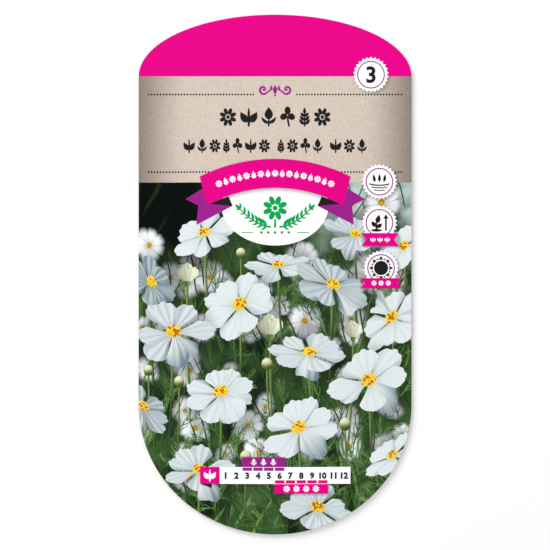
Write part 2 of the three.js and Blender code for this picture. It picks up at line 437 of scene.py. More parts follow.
def digit_shape(text, x, y, height, bold):
    """The points and triangles of a plain number, centred on (x, y)."""
    curve = bpy.data.curves.new("number", "FONT")
    curve.body = text
    curve.offset = bold
    curve.resolution_u = 4
    holder = bpy.data.objects.new("number", curve)
    bpy.context.scene.collection.objects.link(holder)
    bpy.context.view_layer.update()
    mesh = holder.evaluated_get(bpy.context.evaluated_depsgraph_get()).to_mesh()
    mesh.calc_loop_triangles()
    flat = np.empty(len(mesh.vertices) * 3)
    mesh.vertices.foreach_get("co", flat)
    corners = np.empty(len(mesh.loop_triangles) * 3, np.int32)
    mesh.loop_triangles.foreach_get("vertices", corners)
    bpy.data.objects.remove(holder)
    bpy.data.curves.remove(curve)
    points = flat.reshape(-1, 3)[:, :2]
    low, high = points.min(axis=0), points.max(axis=0)
    points = (points - (low + high) / 2) * height / (high[1] - low[1]) + (x, y)
    points, place = np.unique(np.round(points, 4), axis=0, return_inverse=True)
    return points, wound_up(points, place.ravel()[corners].reshape(-1, 3).astype(np.int64))


# --------------------------------------------------------------------------- the picture's flowers and leaves
# Each petal is worked out as a form in space, lit, and then laid flat as a film of ink in the colours that
# the light gave it. Lengths are in millimetres, with z towards the eye.
GOLDEN = 0.618034  # the golden ratio's share, which spreads the leaves evenly over their levels
GOLDEN_ANGLE = 2.39996  # in radians
PETALS = 8
PETAL_ROWS = 17
PETAL_COLUMNS = 15
LIGHT_FROM = np.array([-0.42, 0.60, 0.68])
PICTURE_LIGHT = LIGHT_FROM / np.linalg.norm(LIGHT_FROM)  # points to the light that shapes the petals
FILM_STEP = 0.1  # levels between two films that cross each other
FLOWER_STEP = 5 * FILM_STEP  # and between two flowers that do
APART = 0.006  # films that should lie at one level are this far apart, so that none lies in another's plane
ANTHERS = 34
ANTHER_APART = 0.0025  # and a flower's anthers this far, as there are many of them
LEAVES = 230
FOOT_LEAVES = 150
LEAF_FOOT = (-79.0, -50.0)  # the small leaves at the foot lie between these heights
LEAF_LEVEL = 1.4  # the leaves lie from here up
LEAF_LAYERS = 6  # spread over this many steps
THREAD_PARTS = 5  # straight parts of one thread of a leaf
OPENING_LEVEL = 2.1
FLOWER_LEVEL = 2.7
STEM_REACH = 42.0  # how far down a near flower's stem can be seen
STEM_BEND = 4.0  # and the most that it bends aside
STEM_HALF_WIDTH = 0.34
BUD_STEM_HALF_WIDTH = 0.28
SLIGHT_BEND = 3.0  # the most that the stem of a bud or of a half-open flower bends aside
CUT_IN = 0.05  # the picture's films stop this far in from the outline
RELIEFS = (1.0, 0.8, 0.6, 0.4, 0.2, 0.0)  # a petal that folds over itself is tried flatter and flatter

# Colours of the picture, each in shade and in full light.
PETAL_SHADES = (srgb(116, 135, 146), srgb(235, 243, 244))
PETAL_FOOT = srgb(196, 206, 130)
DISC_SHADES = (srgb(112, 66, 14), srgb(240, 178, 30))
YOUNG_ANTHER = srgb(176, 108, 22)
RIPE_ANTHER = srgb(255, 216, 70)
CREAM_SHADES = (srgb(112, 122, 78), srgb(244, 246, 220))
CUP_SHADES = (srgb(44, 72, 30), srgb(132, 158, 82))
STEM_SHADES = (srgb(34, 60, 28), srgb(142, 170, 96))
LEAF_SHADES = (srgb(26, 58, 24), srgb(122, 166, 92))
BUD_COLOURS = (srgb(112, 140, 62), srgb(236, 238, 196))  # at its foot and at its head
HEDGE_SHADES = (srgb(12, 26, 14), srgb(78, 112, 62))

# Where the far field changes: the heights at which a change begins and is full, and then the places across.
FOOT_THICKET = (-46.0, -68.0)
DUSK = ((-8.0, 12.0), (-12.0, -25.0))
MIST = ((-14.0, 6.0), (8.0, 26.0))

# The least and the most of what makes one petal unlike the next, in the order in which petal_form takes them.
PETAL_RANGES = [
    (0.78, 1.10),  # length, as a share of the flower's radius
    (0.25, 0.37),  # half width, as such a share
    (0.10, 0.75),  # slope at its foot, in radians
    (-0.65, 0.35),  # slope at its tip
    (0, 6),  # where the waves of its hem begin
    (0.03, 0.11),  # depth of those waves
    (-0.20, 0.24),  # how far its sides rise
    (-0.6, 0.6),  # how far it twists
]

# Near flowers, from back to front: x, y, radius, how far it leans, and the way it leans, in radians.
NEAR_FLOWERS = [
    (-21.5, 12.5, 11.0, 0.95, 1.9),
    (24.5, 12.0, 10.0, 0.90, 1.2),
    (40.0, 8.5, 9.6, 0.80, 2.3),
    (-38.5, -2.5, 10.6, 0.90, 0.6),
    (1.0, 2.5, 10.4, 1.10, 1.6),
    (17.5, -3.5, 12.0, 0.85, 1.0),
    (-10.5, -9.5, 12.6, 0.70, 2.1),
    (36.5, -13.5, 12.4, 0.90, 2.4),
    (-31.5, -18.0, 12.6, 0.65, 1.3),
    (10.5, -24.5, 12.4, 1.00, 1.5),
    (29.0, -33.0, 13.0, 0.70, 1.9),
    (-16.5, -36.5, 12.8, 0.80, 1.7),
    (-41.0, -41.0, 10.8, 0.95, 0.9),
    (7.5, -47.5, 12.8, 0.75, 2.0),
    (36.5, -56.0, 10.4, 1.00, 2.2),
    (-23.5, -60.5, 11.4, 0.85, 1.4),
    (13.0, -72.0, 11.6, 0.75, 1.3),
]
# Flowers out of focus, from back to front: x, y, radius, spin, lean, direction of the lean, blur.
FAR_FLOWERS = [
    (-10.0, 19.0, 6.0, 0.2, 0.6, 1.2, 0.60),
    (33.0, 22.0, 6.6, 0.9, 0.6, 2.6, 0.55),
    (-39.0, 9.0, 5.4, 0.4, 0.5, 0.4, 0.65),
    (29.0, 0.0, 6.4, 0.7, 0.5, 2.9, 0.40),
    (-1.0, -10.0, 6.2, 1.1, 0.9, 1.7, 0.34),
    (15.0, -24.0, 6.0, 0.3, 0.6, 2.2, 0.36),
    (-5.0, -55.0, 6.0, 1.5, 0.7, 0.7, 0.32),
]
# Half-open cream flowers: x, y, radius.
OPENING = [
    (-1.5, -20.0, 7.0),
    (-27.0, -3.5, 6.2),
    (24.0, -20.5, 5.6),
]
# Buds: x, y, radius, and the length of the stem.
BUDS = [
    (-10.5, 6.5, 1.5, 30.0),
    (-2.5, -27.5, 1.7, 26.0),
    (-29.5, -33.0, 1.6, 24.0),
    (21.5, -46.0, 1.8, 22.0),
    (-39.0, -29.5, 1.5, 26.0),
    (-9.0, -56.0, 1.8, 20.0),
]


def cut_to_picture(x, y):
    """Moves the points that lie outside the picture to its edge, and tells which they are.

    At the head y stops at the linen. On the sides x stops at the half width. In the foot's half ellipse a
    point is drawn in towards the middle of the ellipse.
    """
    drop = np.clip((FOOT_Y - y) / FOOT_DROP, 0, None)
    reach = np.hypot(x / HALF_WIDTH, drop)
    most = 1 - CUT_IN / HALF_WIDTH
    outside = (reach > most) | (y > LINEN_FOOT)
    shrink = np.minimum(1, most / np.maximum(reach, 1e-9))
    low = np.where(drop > 0, FOOT_Y - drop * shrink * FOOT_DROP, y)
    return x * shrink, np.minimum(low, LINEN_FOOT), outside


def tinted(x, y, tones, level):
    """One film of the picture, from a grid with a colour for each point.

    Returns a part for new_piece and its colours, or None where all of it lies outside the picture.
    """
    x, y, outside = cut_to_picture(x, y)
    points, first, index = welded(x, y)
    corners = corners_of(index)
    corners = corners[~outside.ravel()[first][corners].all(axis=1)]
    if not len(corners):
        return None
    used, place = np.unique(corners, return_inverse=True)
    points, first = points[used], first[used]
    corners = wound_up(points, place.reshape(-1, 3))
    colours = tones.reshape(-1, 3)[first]
    return (*closed_sheet(points, corners, *on_front(level, 1)), 0), np.concatenate([colours, colours])


def tinted_piece(name, sheets, materials):
    """One piece from the films that tinted gives."""
    parts, tones = zip(*(sheet for sheet in sheets if sheet))
    return new_piece(name, parts, materials, np.concatenate(tones))


def mixed(share, first, second):
    """Colours between two colours, one for each share."""
    share = np.clip(share, 0, 1)[..., None]
    return (1 - share) * np.array(first[:3]) + share * np.array(second[:3])


def leaning(points, lean, lean_to):
    """Points turned so that their z axis leans over by an angle, towards a heading in the x-y plane."""
    c, s = math.cos(lean_to), math.sin(lean_to)
    heading = np.array([[c, -s, 0], [s, c, 0], [0, 0, 1]])
    tip = np.array([[math.cos(lean), 0, math.sin(lean)], [0, 1, 0], [-math.sin(lean), 0, math.cos(lean)]])
    return points @ (heading @ tip @ heading.T).T


def lit(points):
    """How much light falls on each point of a grid of points in space, from the grid's own normals."""
    along, across = np.gradient(points, axis=0), np.gradient(points, axis=1)
    normal = np.cross(along, across)
    normal /= np.maximum(np.linalg.norm(normal, axis=2, keepdims=True), 1e-9)
    normal *= np.sign(normal[..., 2:] + 1e-9)
    return np.clip(normal @ PICTURE_LIGHT, 0, 1)


def petal_shares():
    """Shares of the way along a petal from its foot to its tip, and across it from -1 to 1."""
    return np.linspace(0, 1, PETAL_ROWS)[:, None], np.linspace(-1, 1, PETAL_COLUMNS)[None, :]


def petal_form(size, draws, relief):
    """A petal that stands out along x, with the flower's face towards z, as a grid of points in space.

    It follows a slope that turns evenly from cup to curl. Its half width rises to full at three quarters of
    its length. Its end is drawn back at the corners, and notched at a third of the width on each side. Its
    pleats are a cosine across it, and its hem waves as a sine.
    """
    v, u = petal_shares()
    length, width, cup, curl, phase, ruffle, hollow, twist = draws
    notches = 1 - np.abs(np.cos(1.5 * math.pi * u))
    drawn_back = 0.26 * np.abs(u) ** 2.2 + 0.07 * notches**2
    along = size * length * (0.04 + 0.96 * v * (1 - drawn_back * v**3))
    half = size * width * (0.14 + 0.86 * smooth(v / 0.82))
    slope = relief * (cup + (curl - cup) * v)
    pleats = size * (0.012 * np.cos(3 * math.pi * u) + 0.004 * np.cos(8 * math.pi * u)) * smooth(1.6 * v)
    hem = ruffle * size * np.sin(2.6 * u + phase) * v**2
    lift = pleats + relief * (hem + hollow * size * u**2 * v + twist * half * u * v)
    return np.stack([along * np.cos(slope), u * half, along * np.sin(slope) + lift], axis=2)


def folds_over(form):
    """Whether a grid of points in space, seen along z, has cells that face both ways."""
    along, across = np.diff(form, axis=0)[:, :-1], np.diff(form, axis=1)[:-1]
    facing = along[..., 0] * across[..., 1] - along[..., 1] * across[..., 0]
    return facing.min() < 0 < facing.max()


def turned(points, turn):
    """Points turned about the z axis by an angle."""
    c, s = math.cos(turn), math.sin(turn)
    return points @ np.array([[c, s, 0], [-s, c, 0], [0, 0, 1]])


def laid_petal(size, turn, lean, lean_to, rng):
    """A petal of random proportions in its place in a leaning flower, made flatter until it doesn't fold."""
    draws = [rng.uniform(least, most) for least, most in PETAL_RANGES]
    for relief in RELIEFS:
        petal = leaning(turned(petal_form(size, draws, relief), turn), lean, lean_to)
        if not folds_over(petal):
            break
    return petal


def petal_tones(points, low):
    """A petal's colours: cool in the shade, nearly white in the light, and greenish by the flower's middle.

    A petal of the lower rank is darker along its two edges, where its neighbours lie over it.
    """
    v, u = petal_shares()
    tone = -0.24 + 1.20 * lit(points) - 0.26 * np.exp(-((v / 0.25) ** 2))
    if low:
        by_the_edge = smooth((np.abs(u) - 0.40) / 0.6)
        tone = tone - 0.45 * by_the_edge * smooth(2.5 * v) * (1 - 0.6 * smooth(4 * v - 3))
    veins = 0.07 * np.cos(7 * math.pi * u + 1.3 * np.sin(3 * v)) * smooth(2 * v)
    colours = mixed(tone + veins, *PETAL_SHADES)
    green = 0.55 * np.exp(-((v / 0.17) ** 2)) + 0 * u
    return colours + green[..., None] * (np.array(PETAL_FOOT[:3]) - colours)


def shaded_by(tones, x, y, later):
    """Colours darkened under the flowers that lie over them, softly and a little down and to the right."""
    for over_x, over_y, radius in later:
        away = np.hypot(x - over_x - 0.10 * radius, y - over_y + 0.16 * radius) / radius
        tones = tones * (1 - 0.48 * smooth((1.22 - away) / 0.5))[..., None]
    return tones


def flower_films(x, y, radius, lean, lean_to, level, later, rng):
    """The films of one flower: its petals in two ranks, its domed disc and the anthers on it."""
    sheets = []
    spin = rng.uniform(0, 2 * math.pi)
    for number in range(PETALS):
        low = number % 2 == 0
        turn = spin + (number + rng.uniform(-0.26, 0.26)) * 2 * math.pi / PETALS
        petal = laid_petal(radius, turn, lean, lean_to, rng)
        petal_x, petal_y = x + petal[..., 0], y + petal[..., 1]
        tones = shaded_by(petal_tones(petal, low), petal_x, petal_y, later)
        sheets.append(tinted(petal_x, petal_y, tones, level + FILM_STEP * (1 if low else 2) + number * APART))
    return sheets + disc_films(x, y, radius, lean, lean_to, level, rng)


def disc_films(x, y, radius, lean, lean_to, level, rng):
    """A flower's disc: a dome whose height is a parabola, and on it anthers set out by the golden angle."""
    turn = np.linspace(0, 2 * math.pi, 21)[None, :]
    share = np.linspace(0, 1, 5)[:, None]
    wide = 0.175 * radius
    swell = min(0.10 * radius, 0.45 * wide / math.tan(lean))  # a higher dome would hide its own far side

    def dome(out, angle):
        reach = wide * out
        height = 0.08 * radius + swell * (1 - out**2)
        form = np.stack(np.broadcast_arrays(reach * np.cos(angle), reach * np.sin(angle), height), axis=-1)
        return leaning(form, lean, lean_to)

    form = dome(share, turn)
    colours = mixed(0.25 + 0.8 * lit(form), *DISC_SHADES)
    sheets = [tinted(x + form[..., 0], y + form[..., 1], colours, level + 3 * FILM_STEP)]
    for number in range(ANTHERS):
        out = math.sqrt((number + 0.5) / ANTHERS) * 1.04
        spot = dome(np.array(out), np.array(number * GOLDEN_ANGLE))
        size = radius * rng.uniform(0.022, 0.036)
        colour = RIPE_ANTHER if rng.random() < 0.3 + 0.6 * out else YOUNG_ANTHER
        dot_x, dot_y = round_shape(x + spot[0], y + spot[1], size, spokes=6)
        rise = 4 * FILM_STEP + number * ANTHER_APART
        sheets.append(tinted(dot_x, dot_y, np.tile(colour[:3], (*dot_x.shape, 1)), level + rise))
    return sheets


def opening_films(x, y, radius, level, rng):
    """A half-open flower from its side: cream petals that fan up from a cup, the inner ones in front."""
    sheets = []
    v, u = petal_shares()
    spreads = (0.1, -1.0, 1.0, -0.5, 0.5)
    for rank, spread in enumerate(spreads):
        turn = math.pi / 2 + 0.42 * spread + rng.uniform(-0.06, 0.06)
        draws = (1.16 - 0.05 * rank, 0.30, 0.1, 0.4 * spread, 2.0 * spread, 0.07, 0.06, 0.12)
        petal = turned(petal_form(radius, draws, 1.0), turn)
        tone = 0.80 * lit(petal) + 0.45 * v - 0.15 - 0.12 * u
        colours = mixed(tone, *CREAM_SHADES)
        sheets.append(tinted(x + petal[..., 0], y + petal[..., 1], colours, level + rank * FILM_STEP))
    t = np.linspace(0, 1, 9)
    cup_x, cup_y = stroke(x + 0 * t, y + radius * (0.30 * t - 0.06), radius * (0.05 + 0.10 * np.sqrt(t)))
    light = np.linspace(0.9, 0.1, 3)[None, :] + 0 * cup_x
    sheets.append(tinted(cup_x, cup_y, mixed(light, *CUP_SHADES), level + len(spreads) * FILM_STEP))
    return sheets


def stem_film(x, y, reach, bend, half_width, level, later=()):
    """A stem down from a flower or bud: bent as a parabola, lit from the left, and lost in shade below."""
    t = np.linspace(0, 1, 49)
    stem_x, stem_y = stroke(x + bend * t**2, y - reach * t, half_width * (1 - 0.7 * t**4))
    side = np.linspace(1, 0, 3)[None, :] + 0 * stem_x
    light = (0.15 + 0.75 * side) * (1 - 0.85 * t[:, None] ** 2)
    return tinted(stem_x, stem_y, shaded_by(mixed(light, *STEM_SHADES), stem_x, stem_y, later), level)


def bud_films(x, y, radius, reach, level, rng):
    """A round bud on its stem: a lit ball, cream above and green below."""
    turn = np.linspace(0, 2 * math.pi, 17)[None, :]
    out = np.linspace(0, 1, 5)[:, None]
    flat, height = radius * out, radius * np.sqrt(1 - out**2)
    ball = np.stack(np.broadcast_arrays(flat * np.cos(turn), 1.15 * flat * np.sin(turn), height), axis=-1)
    colour = mixed(smooth(0.5 + 0.9 * ball[..., 1] / radius), *BUD_COLOURS)
    light = np.clip(ball @ PICTURE_LIGHT / radius, 0, 1)
    tones = colour * (0.35 + 0.7 * light)[..., None]
    stem = stem_film(x, y, reach, rng.uniform(-SLIGHT_BEND, SLIGHT_BEND), BUD_STEM_HALF_WIDTH, level)
    return [stem, tinted(x + ball[..., 0], y + ball[..., 1], tones, level + FILM_STEP)]


def feather_films(x, y, size, heading, level, light, rng):
    """A thread-like leaf: a bent rib, and pairs of bent threads along it that are longest in the middle."""
    bend = rng.uniform(-0.9, 0.9)
    tone = mixed(np.array(light), *LEAF_SHADES)

    def thread(start_x, start_y, length, turn, curve, half_width, order):
        t = np.linspace(0, 1, THREAD_PARTS + 1)
        way = turn + curve * t
        path_x = start_x + length * np.concatenate([[0], np.cumsum(np.cos(way[1:]))]) / THREAD_PARTS
        path_y = start_y + length * np.concatenate([[0], np.cumsum(np.sin(way[1:]))]) / THREAD_PARTS
        film_x, film_y = stroke(path_x, path_y, half_width * (1 - 0.6 * t), columns=2)
        colours = tone * (0.75 + 0.5 * t)[:, None, None] + 0 * film_x[..., None]
        return tinted(film_x, film_y, colours, level + order * APART), path_x, path_y, way

    rib, path_x, path_y, way = thread(x, y, size, heading, bend, 0.022 * size, 0)
    sheets = [rib]
    for number in range(1, THREAD_PARTS):
        root_x, root_y = path_x[number], path_y[number]
        for side in (-1, 1):
            length = size * 0.42 * math.sin(math.pi * (0.25 + 0.15 * number)) * rng.uniform(0.7, 1.2)
            turn = way[number] + side * rng.uniform(0.5, 0.9)
            order = 2 * number + (side > 0)
            sheets.append(thread(root_x, root_y, length, turn, -side * 0.7, 0.017 * size, order)[0])
    return sheets


def stacked_levels():
    """The level of each near flower: one step over the highest of those behind it that it touches."""
    levels = []
    for number, (x, y, radius, *_) in enumerate(NEAR_FLOWERS):
        under = [
            levels[other]
            for other, (other_x, other_y, other_radius, *_) in enumerate(NEAR_FLOWERS[:number])
            if math.hypot(x - other_x, y - other_y) < radius + other_radius
            or (abs(x - other_x) < radius + STEM_BEND and 0 < other_y - y < STEM_REACH)
        ]
        levels.append(max(under, default=FLOWER_LEVEL - FLOWER_STEP) + FLOWER_STEP)
    return levels


# --------------------------------------------------------------------------- materials, as formulas
class Num:
    """A number that a material works out. Arithmetic on it adds Math nodes to the tree."""

    def __init__(self, tree, socket):
        self.tree = tree
        self.socket = socket

    def _math(self, operation, *terms):
        node = self.tree.nodes.new("ShaderNodeMath")
        node.operation = operation
        for socket, term in zip(node.inputs, terms):
            feed(self.tree, socket, term)
        return Num(self.tree, node.outputs[0])

    def __add__(self, other):
        return self._math("ADD", self, other)

    __radd__ = __add__

    def __sub__(self, other):
        return self._math("SUBTRACT", self, other)

    def __rsub__(self, other):
        return self._math("SUBTRACT", other, self)

    def __mul__(self, other):
        return self._math("MULTIPLY", self, other)

    __rmul__ = __mul__

    def __truediv__(self, other):
        return self._math("DIVIDE", self, other)

    def __pow__(self, other):
        return self._math("POWER", self, other)

    def __abs__(self):
        return self._math("ABSOLUTE", self)

    def sin(self):
        return self._math("SINE", self)

    def cos(self):
        return self._math("COSINE", self)

    def root(self):
        return self._math("SQRT", self)

    def floor(self):
        return self._math("FLOOR", self)

    def angle_over(self, other):
        return self._math("ARCTAN2", self, other)

    def smallest(self, other):
        return self._math("MINIMUM", self, other)

    def step(self, start, end, low=0.0, high=1.0):
        """Goes smoothly from low at start to high at end, and stays there."""
        node = self.tree.nodes.new("ShaderNodeMapRange")
        node.interpolation_type = "SMOOTHSTEP"
        for socket, term in zip(node.inputs, (self, start, end, low, high)):
            feed(self.tree, socket, term)
        return Num(self.tree, node.outputs[0])


def feed(tree, socket, value):
    """Links an output to a socket, or sets the socket to a plain value."""
    if isinstance(value, Num):
        value = value.socket
    if isinstance(value, bpy.types.NodeSocket):
        tree.links.new(value, socket)
    else:
        socket.default_value = value


def distance(x, y):
    """How far (x, y) is from the origin."""
    return (x * x + y * y).root()


def vector(tree, x, y, z=0.0):
    """Three numbers as one vector."""
    node = tree.nodes.new("ShaderNodeCombineXYZ")
    for socket, term in zip(node.inputs, (x, y, z)):
        feed(tree, socket, term)
    return node.outputs[0]


def spot_in_mm(tree):
    """Where a point of the piece is, in millimetres."""
    coordinates = tree.nodes.new("ShaderNodeTexCoord")
    parts = tree.nodes.new("ShaderNodeSeparateXYZ")
    tree.links.new(coordinates.outputs["Object"], parts.inputs[0])
    return [Num(tree, output) * (1 / MM) for output in parts.outputs]


def noise(tree, at, scale=1.0, detail=2.0, roughness=0.5, colour=False):
    """Cloudy noise about 0.5, or its three colour channels."""
    node = tree.nodes.new("ShaderNodeTexNoise")
    feed(tree, node.inputs["Vector"], at)
    node.inputs["Scale"].default_value = scale
    node.inputs["Detail"].default_value = detail
    node.inputs["Roughness"].default_value = roughness
    if not colour:
        return Num(tree, node.outputs["Fac"])
    parts = tree.nodes.new("ShaderNodeSeparateColor")
    tree.links.new(node.outputs["Color"], parts.inputs[0])
    return [Num(tree, output) for output in parts.outputs]


def cells(tree, at, randomness):
    """The nearest cell point: distance to it, where it is, and three random numbers of its own."""
    node = tree.nodes.new("ShaderNodeTexVoronoi")
    node.voronoi_dimensions = "2D"
    feed(tree, node.inputs["Vector"], at)
    node.inputs["Scale"].default_value = 1.0
    node.inputs["Randomness"].default_value = randomness
    where = tree.nodes.new("ShaderNodeSeparateXYZ")
    tree.links.new(node.outputs["Position"], where.inputs[0])
    lots = tree.nodes.new("ShaderNodeSeparateColor")
    tree.links.new(node.outputs["Color"], lots.inputs[0])
    return (
        Num(tree, node.outputs["Distance"]),
        [Num(tree, output) for output in where.outputs],
        [Num(tree, output) for output in lots.outputs],
    )


def blend(tree, share, first, second):
    """A colour between two colours. A Mix node's sockets for colours follow those for its other kinds."""
    node = tree.nodes.new("ShaderNodeMix")
    node.data_type = "RGBA"
    feed(tree, node.inputs[0], share)
    feed(tree, node.inputs[6], first)
    feed(tree, node.inputs[7], second)
    return node.outputs[2]


def card_surface(name, roughness, grain=0.10):
    """A coated card or its ink: a material whose fine grain is in its roughness and its bump.

    Returns the material, its tree, its shader and the place of a point in millimetres.
    """
    material = bpy.data.materials.new(name)
    material.use_nodes = True
    tree = material.node_tree
    shader = tree.nodes["Principled BSDF"]
    x, y, z = spot_in_mm(tree)
    at = vector(tree, x, y, z)
    fibres = noise(tree, at, scale=5.0, detail=4.0, roughness=0.7)
    feed(tree, shader.inputs["Roughness"], fibres.step(0.2, 0.8, roughness - 0.06, roughness + 0.06))
    bump = tree.nodes.new("ShaderNodeBump")
    bump.inputs["Strength"].default_value = grain
    bump.inputs["Distance"].default_value = 0.01 * MM
    feed(tree, bump.inputs["Height"], fibres)
    tree.links.new(bump.outputs[0], shader.inputs["Normal"])
    shader.inputs["Specular IOR Level"].default_value = 0.04
    return material, tree, shader, (x, y, z)


def ink(name, colour, roughness=0.5, mottle=0.05):
    """An even ink: its strength varies a little, in soft clouds and in fine specks."""
    material, tree, shader, (x, y, _) = card_surface(name, roughness)
    clouds = noise(tree, vector(tree, x, y), scale=0.12, detail=2.0)
    specks = noise(tree, vector(tree, x, y), scale=7.0, detail=1.0)
    strength = 1 - mottle / 2 + (clouds - 0.5) * mottle + (specks - 0.5) * mottle
    dark = [channel * 0.5 for channel in colour[:3]] + [1.0]
    feed(tree, shader.inputs["Base Color"], blend(tree, strength, dark, colour))
    return material


def label_light(x, y):
    """How much light is left on the print beside its badges, ribbons and calendar, whose shadows are printed.

    Each shadow is soft, and lies a little down and to the right: round for a badge, and for a bar the
    product of one step across and one step up.
    """
    light = 1.0
    for (centre_x, centre_y), left_over in zip(BADGES, SHADOW_LIGHT):
        away = distance(x - (centre_x + SHADOW_SHIFT), y - (centre_y - SHADOW_SHIFT))
        light = away.step(BADGE_RADIUS - 0.9, BADGE_RADIUS + 0.7, left_over, 1.0) * light
    for left, right, low, high in LABEL_BARS:
        beside = abs(x - ((left + right) / 2 + SHADOW_SHIFT)) - (right - left) / 2
        under = abs(y - ((low + high) / 2 - SHADOW_SHIFT)) - (high - low) / 2
        light = light * (1 - beside.step(0.6, -0.5) * under.step(0.6, -0.5) * 0.5)
    return light


def linen_surface(name, colour, shade, shadows=True):
    """Printed linen: threads both ways, of uneven weight, over a field that darkens to its two sides."""
    material, tree, shader, (x, y, _) = card_surface(name, roughness=0.55)
    fine, slow = 3.2, 0.35  # how fast the tone changes across a thread and along it, per millimetre
    warp = noise(tree, vector(tree, x * fine, y * slow), detail=3.0, roughness=0.6)
    weft = noise(tree, vector(tree, x * slow, y * fine, 9.0), detail=3.0, roughness=0.6)
    slubs = noise(tree, vector(tree, x * 0.22, y * 1.3, 4.0), detail=4.0, roughness=0.65)
    clouds = noise(tree, vector(tree, x * 0.08, y * 0.08, 2.0), detail=2.0)
    grain = noise(tree, vector(tree, x * 1.6, y * 1.6, 5.0), detail=1.0)
    cloth = (warp - 0.5) * 0.40 + (weft - 0.5) * 0.40 + (slubs - 0.5) * 0.14 + (clouds - 0.5) * 0.08
    cloth = cloth + (grain - 0.5) * 0.36
    edge = abs(x).step(HALF_WIDTH - 16.0, HALF_WIDTH + 3.0) * 0.84
    cloth = cloth * (1.0 - edge * 0.7)
    field = 0.90  # the mean tone in the middle, which leaves the threads room to be lighter
    light = [dark + (bright - dark) / field for dark, bright in zip(shade[:3], colour[:3])] + [1.0]
    tone = blend(tree, (1.0 - edge) * field + cloth, shade, light)
    if shadows:
        tone = blend(tree, label_light(x, y), SHADOW, tone)
    feed(tree, shader.inputs["Base Color"], tone)
    return material


def plate_surface(name, colour):
    """White ink, darker in a narrow band along the banner's lower edge, as if the banner stood over it."""
    material, tree, shader, (x, y, _) = card_surface(name, roughness=0.5)
    under = BANNER_RADII[0] - distance(x, y - BANNER_CENTRE)
    light = under.step(-0.4, 1.9, 0.42, 1.0)
    feed(tree, shader.inputs["Base Color"], blend(tree, light, SHADOW, colour))
    return material


def bloom_group():
    """One printed flower over what lies under it, as a node group.

    The place is taken relative to the flower's centre and radius, made slightly uneven by noise, and
    squashed along the way the flower leans. Its angle picks one of eight petals, each with a random length,
    tilt and tone. A petal ends where the distance from the centre passes a curve that is full in the middle
    and cut back at the petal's two edges, with shallow teeth.
    """
    tree = bpy.data.node_groups.new("printed flower", "ShaderNodeTree")
    inputs = ["X", "Y", "Centre X", "Centre Y", "Radius", "Spin", "Lean", "Lean to", "Seed", "Blur"]
    tree.interface.new_socket("Under", in_out="INPUT", socket_type="NodeSocketColor")
    for name in inputs:
        tree.interface.new_socket(name, in_out="INPUT", socket_type="NodeSocketFloat")
    tree.interface.new_socket("Over", in_out="OUTPUT", socket_type="NodeSocketColor")
    entry = tree.nodes.new("NodeGroupInput")
    under = entry.outputs["Under"]
    x, y, centre_x, centre_y, radius, spin, lean, lean_to, seed, blur = (
        Num(tree, entry.outputs[name]) for name in inputs
    )

    across = (x - centre_x) / radius
    along = (y - centre_y) / radius
    red, green, blue = noise(
        tree, vector(tree, across * 1.4 + seed * 3.1, along * 1.4 - seed * 1.7), detail=1.0, colour=True
    )
    across = across + (red - 0.5) * 0.16
    along = along + (green - 0.5) * 0.16
    facing = lean.cos()
    cos, sin = lean_to.cos(), lean_to.sin()
    near = (across * cos + along * sin) / facing
    side = along * cos - across * sin
    reach = distance(near, side)
    sector = (side.angle_over(near) + spin + 40.0) * (PETALS / (2 * math.pi))
    petal = sector.floor()
    lot = tree.nodes.new("ShaderNodeTexWhiteNoise")
    lot.noise_dimensions = "1D"
    feed(tree, lot.inputs["W"], petal + seed * 17.0)
    parts = tree.nodes.new("ShaderNodeSeparateColor")
    tree.links.new(lot.outputs["Color"], parts.inputs[0])
    lot_a, lot_b, lot_c = (Num(tree, output) for output in parts.outputs)
    lot_d = Num(tree, lot.outputs["Value"])

    from_middle = sector - petal - 0.5 + (lot_a - 0.5) * 0.10
    sharp = 1 - blur
    edge = abs(from_middle) * 2
    teeth = (from_middle * 17.0 + lot_d * 6.0).cos() * 0.022
    tip = (lot_b * 0.16 + 0.84) * (1 - (edge ** 4.5) * (sharp * 0.30 + 0.04)) + teeth * sharp
    soft = blur * 0.35 + 0.012
    petals = (tip - reach).step(-1 * soft, soft)

    folds = (from_middle * 31.0 + (blue - 0.5) * 9.0).cos() * 0.5 + 0.5
    ridges = (from_middle * 12.0 + lot_c * 5.0).cos() * 0.5 + 0.5
    away = reach.step(0.15, 0.95)
    overlap = from_middle.step(0.26, 0.52)
    glow = (side.angle_over(near) + lean_to - 2.3).cos()
    tone = (
        0.92
        - folds * away * sharp * 0.13
        - ridges * sharp * 0.16
        - overlap * (sharp * 0.5 + 0.16)
        + glow * 0.10
        + (lot_c - 0.5) * 0.22
        - reach.step(0.55, 0.12) * 0.30
        - reach.step(0.75, 1.0) * 0.06
    )
    white = blend(tree, tone, srgb(128, 146, 158), srgb(250, 253, 255))
    white = blend(tree, reach.step(0.40, 0.16) * 0.35, white, srgb(196, 205, 140))

    eye_near = near - lean.sin() * 0.12
    eye = distance(eye_near, side)
    dots, _, _ = cells(tree, vector(tree, eye_near * 15.0 + seed, side * 15.0), randomness=0.9)
    stamens = (0.185 + (green - 0.5) * 0.05 - eye - dots * 0.035).step(-0.02, 0.02)
    anthers = blend(tree, dots.step(0.15, 0.5), srgb(255, 214, 60), srgb(168, 96, 10))
    anthers = blend(tree, eye.step(0.09, 0.0) * 0.6, anthers, srgb(205, 160, 30))

    fall_x = across - 0.10
    fall_y = along + 0.14
    shade = distance(fall_x, fall_y).step(1.12, 0.55) * 0.72
    shadow = blend(tree, shade, under, srgb(16, 26, 20))
    flower = blend(tree, stamens, white, anthers)
    output = tree.nodes.new("NodeGroupOutput")
    feed(tree, output.inputs["Over"], blend(tree, petals, shadow, flower))
    return tree


